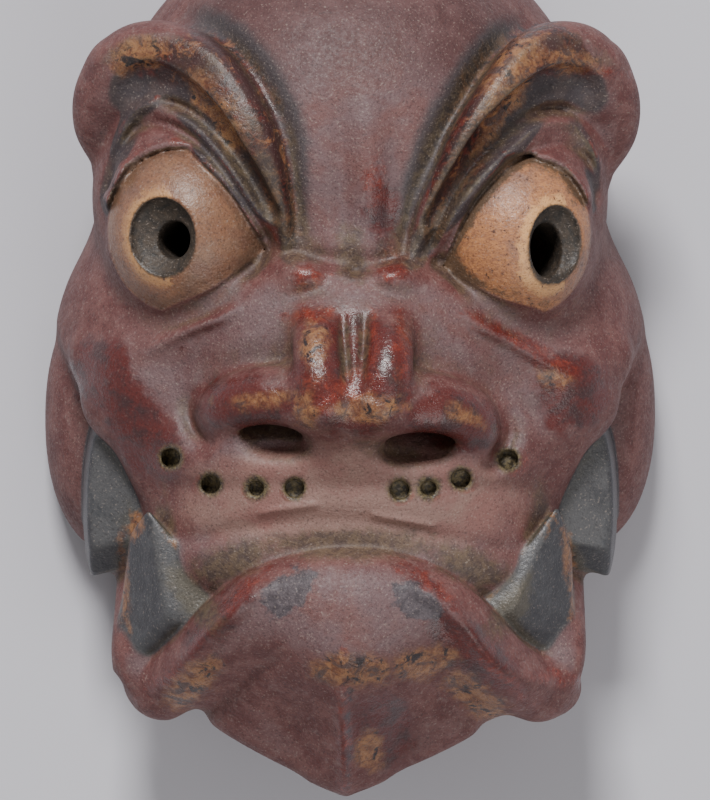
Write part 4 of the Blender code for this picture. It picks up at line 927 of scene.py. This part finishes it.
# Brows polished to a dark mottled brown
brow = g.ramp(g.sum("ADD", g.value("brow"), g.sum("MULTIPLY", uneven, 1.1)), 0.25, 0.6)
mixed = g.mix(g.ramp(blots, 0.4, 0.6), colour(34, 20, 20), colour(84, 34, 27))
mixed = g.mix(g.ramp(cloud, 0.42, 0.6), mixed, colour(56, 32, 31))
mixed = g.mix(g.ramp(g.noise(1.0, 4.0, 0.7, 0.6), 0.55, 0.66), mixed, colour(116, 74, 48))
skin = g.mix(brow, skin, mixed)
rough = g.blend(brow, rough, g.ramp(grain, 0.35, 0.65, 0.30, 0.46))
# Bare wood, mottled with old lacquer and black pores
wood = g.ragged("wood", 1.5, 1.3, 0.3)
timber = g.mix(g.ramp(blots, 0.34, 0.62), colour(92, 52, 34), colour(138, 96, 62))
timber = g.mix(g.ramp(g.noise(1.2, 4.0, 0.65, 0.8), 0.5, 0.64), timber, colour(74, 54, 48))
timber = g.mix(g.ramp(g.noise(0.8, 4.0, 0.7, 0.5), 0.55, 0.64), timber, colour(30, 24, 26))
skin = g.mix(g.sum("MULTIPLY", wood, 0.92), skin, timber)
rough = g.blend(wood, rough, g.ramp(grain, 0.35, 0.65, 0.24, 0.48))
# Olive dirt with painted shade in the hollows, along the mouth and at the root and foot of the nose, and olive dirt
# in the bristle holes
dirt_and_shade = g.ramp(g.sum("ADD", hollow, g.sum("MULTIPLY", uneven, 0.5)), 0.28, 0.62)
dirt_and_shade = g.sum("MAXIMUM", g.sum("MULTIPLY", dirt_and_shade, 0.7), g.sum("MULTIPLY", g.ragged("dirt_and_shade_spots", 1.2, 0.6, 0.35), 0.75))
skin = g.mix(dirt_and_shade, skin, g.mix(g.ramp(blots, 0.36, 0.64), colour(48, 40, 33), colour(86, 72, 52)))
rough = g.blend(dirt_and_shade, rough, 0.62)
skin = g.mix(g.ragged("olive", 0.4, 0.4, 0.2), skin, g.mix(g.ramp(grain, 0.4, 0.6), colour(48, 40, 29), colour(96, 83, 56)))
# Tusks, blue-black with a dusty bloom on the faces that look up, and ochre at worn edges
tusk = g.value("tusk")
horn = g.mix(g.ramp(g.sum("ADD", g.value("up"), uneven), 0.45, 0.95), colour(42, 42, 46), colour(72, 71, 72))
horn = g.mix(g.ramp(drift, 0.5, 0.72), horn, colour(56, 57, 60))
horn = g.mix(g.sum("MULTIPLY", g.ramp(edge, 0.3, 0.62), g.ramp(drift, 0.46, 0.58)), horn, colour(116, 78, 48))
# Olive dirt with painted shade in the hollows of the tusks
horn = g.mix(g.sum("MULTIPLY", dirt_and_shade, 0.8), horn, colour(84, 76, 60))
ochre = g.ragged("ochre", 1.0, 0.6, 0.2)
horn = g.mix(g.sum("MULTIPLY", ochre, 0.9), horn, timber)
skin = g.mix(tusk, skin, horn)
rough = g.blend(tusk, rough, 0.42)
# Eyes: dull gilding, rubbed bright near the iris, and dirt with painted shade at the lids
is_gilt = g.value("gilt")
gilt = g.mix(g.ramp(g.noise(0.4, 4.0, 0.75, 1.2, (1, 2.6, 1)), 0.36, 0.66), colour(168, 114, 74), colour(132, 88, 64))
gilt = g.mix(g.ramp(cloud, 0.45, 0.7), gilt, colour(120, 90, 78))
gilt = g.mix(g.ramp(g.sum("ADD", g.value("rubbed"), g.sum("MULTIPLY", mottled, 1.4)), 0.5, 0.95), gilt, colour(196, 146, 96))
gilt = g.mix(g.ramp(g.noise(0.3, 4.0, 0.7, 0.4), 0.58, 0.68), gilt, colour(76, 50, 40))
# Darker gilt where the lids close in: dirt with painted shade
lid_dirt_and_shade = g.ramp(g.sum("ADD", hollow, g.sum("MULTIPLY", mottled, 0.7)), 0.22, 0.5)
gilt = g.mix(g.sum("MULTIPLY", lid_dirt_and_shade, 0.85), gilt, colour(72, 60, 48))
gilt = g.mix(g.sum("MULTIPLY", g.value("dull"), 0.75), gilt, g.mix(g.ramp(drift, 0.4, 0.65), colour(96, 66, 52), colour(108, 80, 62)))
skin = g.mix(is_gilt, skin, gilt)
rough = g.blend(is_gilt, rough, g.ramp(grain, 0.3, 0.7, 0.34, 0.5))
ring = g.mix(g.ramp(blots, 0.38, 0.62), colour(36, 30, 25), colour(58, 47, 37))
skin = g.mix(g.value("iris"), skin, ring)
# Fine dust: pale and dark grains over everything
dusty = g.sum("SUBTRACT", 1.0, g.sum("MULTIPLY", g.sum("MAXIMUM", ox, wood), 0.6))
speck = g.sum("MULTIPLY", g.ramp(fine, 0.60, 0.70), dusty)
skin = g.mix(g.sum("MULTIPLY", speck, 0.38), skin, colour(146, 132, 122))
skin = g.mix(g.sum("MULTIPLY", g.ramp(fine, 0.44, 0.32), 0.45), skin, colour(30, 22, 22))
back = g.value("back")
hidden = g.mix(g.ramp(cloud, 0.35, 0.65), colour(84, 58, 48), colour(62, 46, 42))
skin = g.mix(g.sum("MULTIPLY", back, 0.8), skin, hidden)

height = g.sum("ADD", g.sum("MULTIPLY", fine, 0.3), g.sum("MULTIPLY", grain, 0.5))
height = g.sum("ADD", height, g.sum("MULTIPLY", blots, 0.7))
height = g.sum("ADD", height, drift)
height = g.sum("SUBTRACT", height, g.sum("MULTIPLY", wood, 0.5))
bump = g.tree.nodes.new("ShaderNodeBump")
bump.inputs["Strength"].default_value = 0.6
bump.inputs["Distance"].default_value = 0.00010
g.put(bump.inputs["Height"], height)
g.put(g.shader.inputs["Normal"], bump.outputs["Normal"])
g.put(g.shader.inputs["Base Color"], skin)
g.put(g.shader.inputs["Roughness"], rough)
g.shader.inputs["IOR"].default_value = 1.48
mesh.materials.clear()
mesh.materials.append(g.material)

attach(carved, "root")
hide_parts("mask")


# Floor, light and camera


sheet = bpy.data.meshes.new("floor")
sheet.from_pydata([(-2, -2, 0), (2, -2, 0), (2, 2, 0), (-2, 2, 0)], [], [(0, 1, 2, 3)])
floor = bpy.data.objects.new("floor", sheet)
bpy.context.scene.collection.objects.link(floor)
pale = bpy.data.materials.new("pale_floor")
pale.use_nodes = True
pale.node_tree.nodes["Principled BSDF"].inputs["Base Color"].default_value = colour(181, 179, 185)
pale.node_tree.nodes["Principled BSDF"].inputs["Roughness"].default_value = 0.9
sheet.materials.append(pale)


def lamp(name, place, size, power, aim=(0, 0, 0.01)):
    light = bpy.data.lights.new(name, "AREA")
    light.size = size
    light.energy = power
    obj = bpy.data.objects.new(name, light)
    bpy.context.scene.collection.objects.link(obj)
    obj.location = place
    obj.rotation_euler = (Vector(place) - Vector(aim)).to_track_quat("Z", "Y").to_euler()


lamp("key", (-0.08, 0.50, 0.56), 0.18, 8.4)
lamp("fill", (0.3, -0.45, 0.6), 0.6, 3.0)
world = bpy.data.worlds.new("studio")
bpy.context.scene.world = world
world.use_nodes = True
world.node_tree.nodes["Background"].inputs["Color"].default_value = (1, 1, 1, 1)
world.node_tree.nodes["Background"].inputs["Strength"].default_value = 0.40

# The photograph looks straight down on the lying mask, at 19 pixels to the millimetre
PIXELS_HIGH = 800
PIXELS_PER_MM = 19.0
CAMERA_DISTANCE = 1.0
camera = bpy.data.cameras.new("camera")
camera.sensor_fit = "VERTICAL"
camera.sensor_height = 24.0
camera.lens = 24.0 * CAMERA_DISTANCE * 1000 * PIXELS_PER_MM / PIXELS_HIGH
camera.clip_start = 0.05
camera.clip_end = 5.0
viewer = bpy.data.objects.new("camera", camera)
bpy.context.scene.collection.objects.link(viewer)
viewer.location = ((355 - 350) / 19000, (360 - 400) / 19000, CAMERA_DISTANCE + 0.012)
bpy.context.scene.camera = viewer
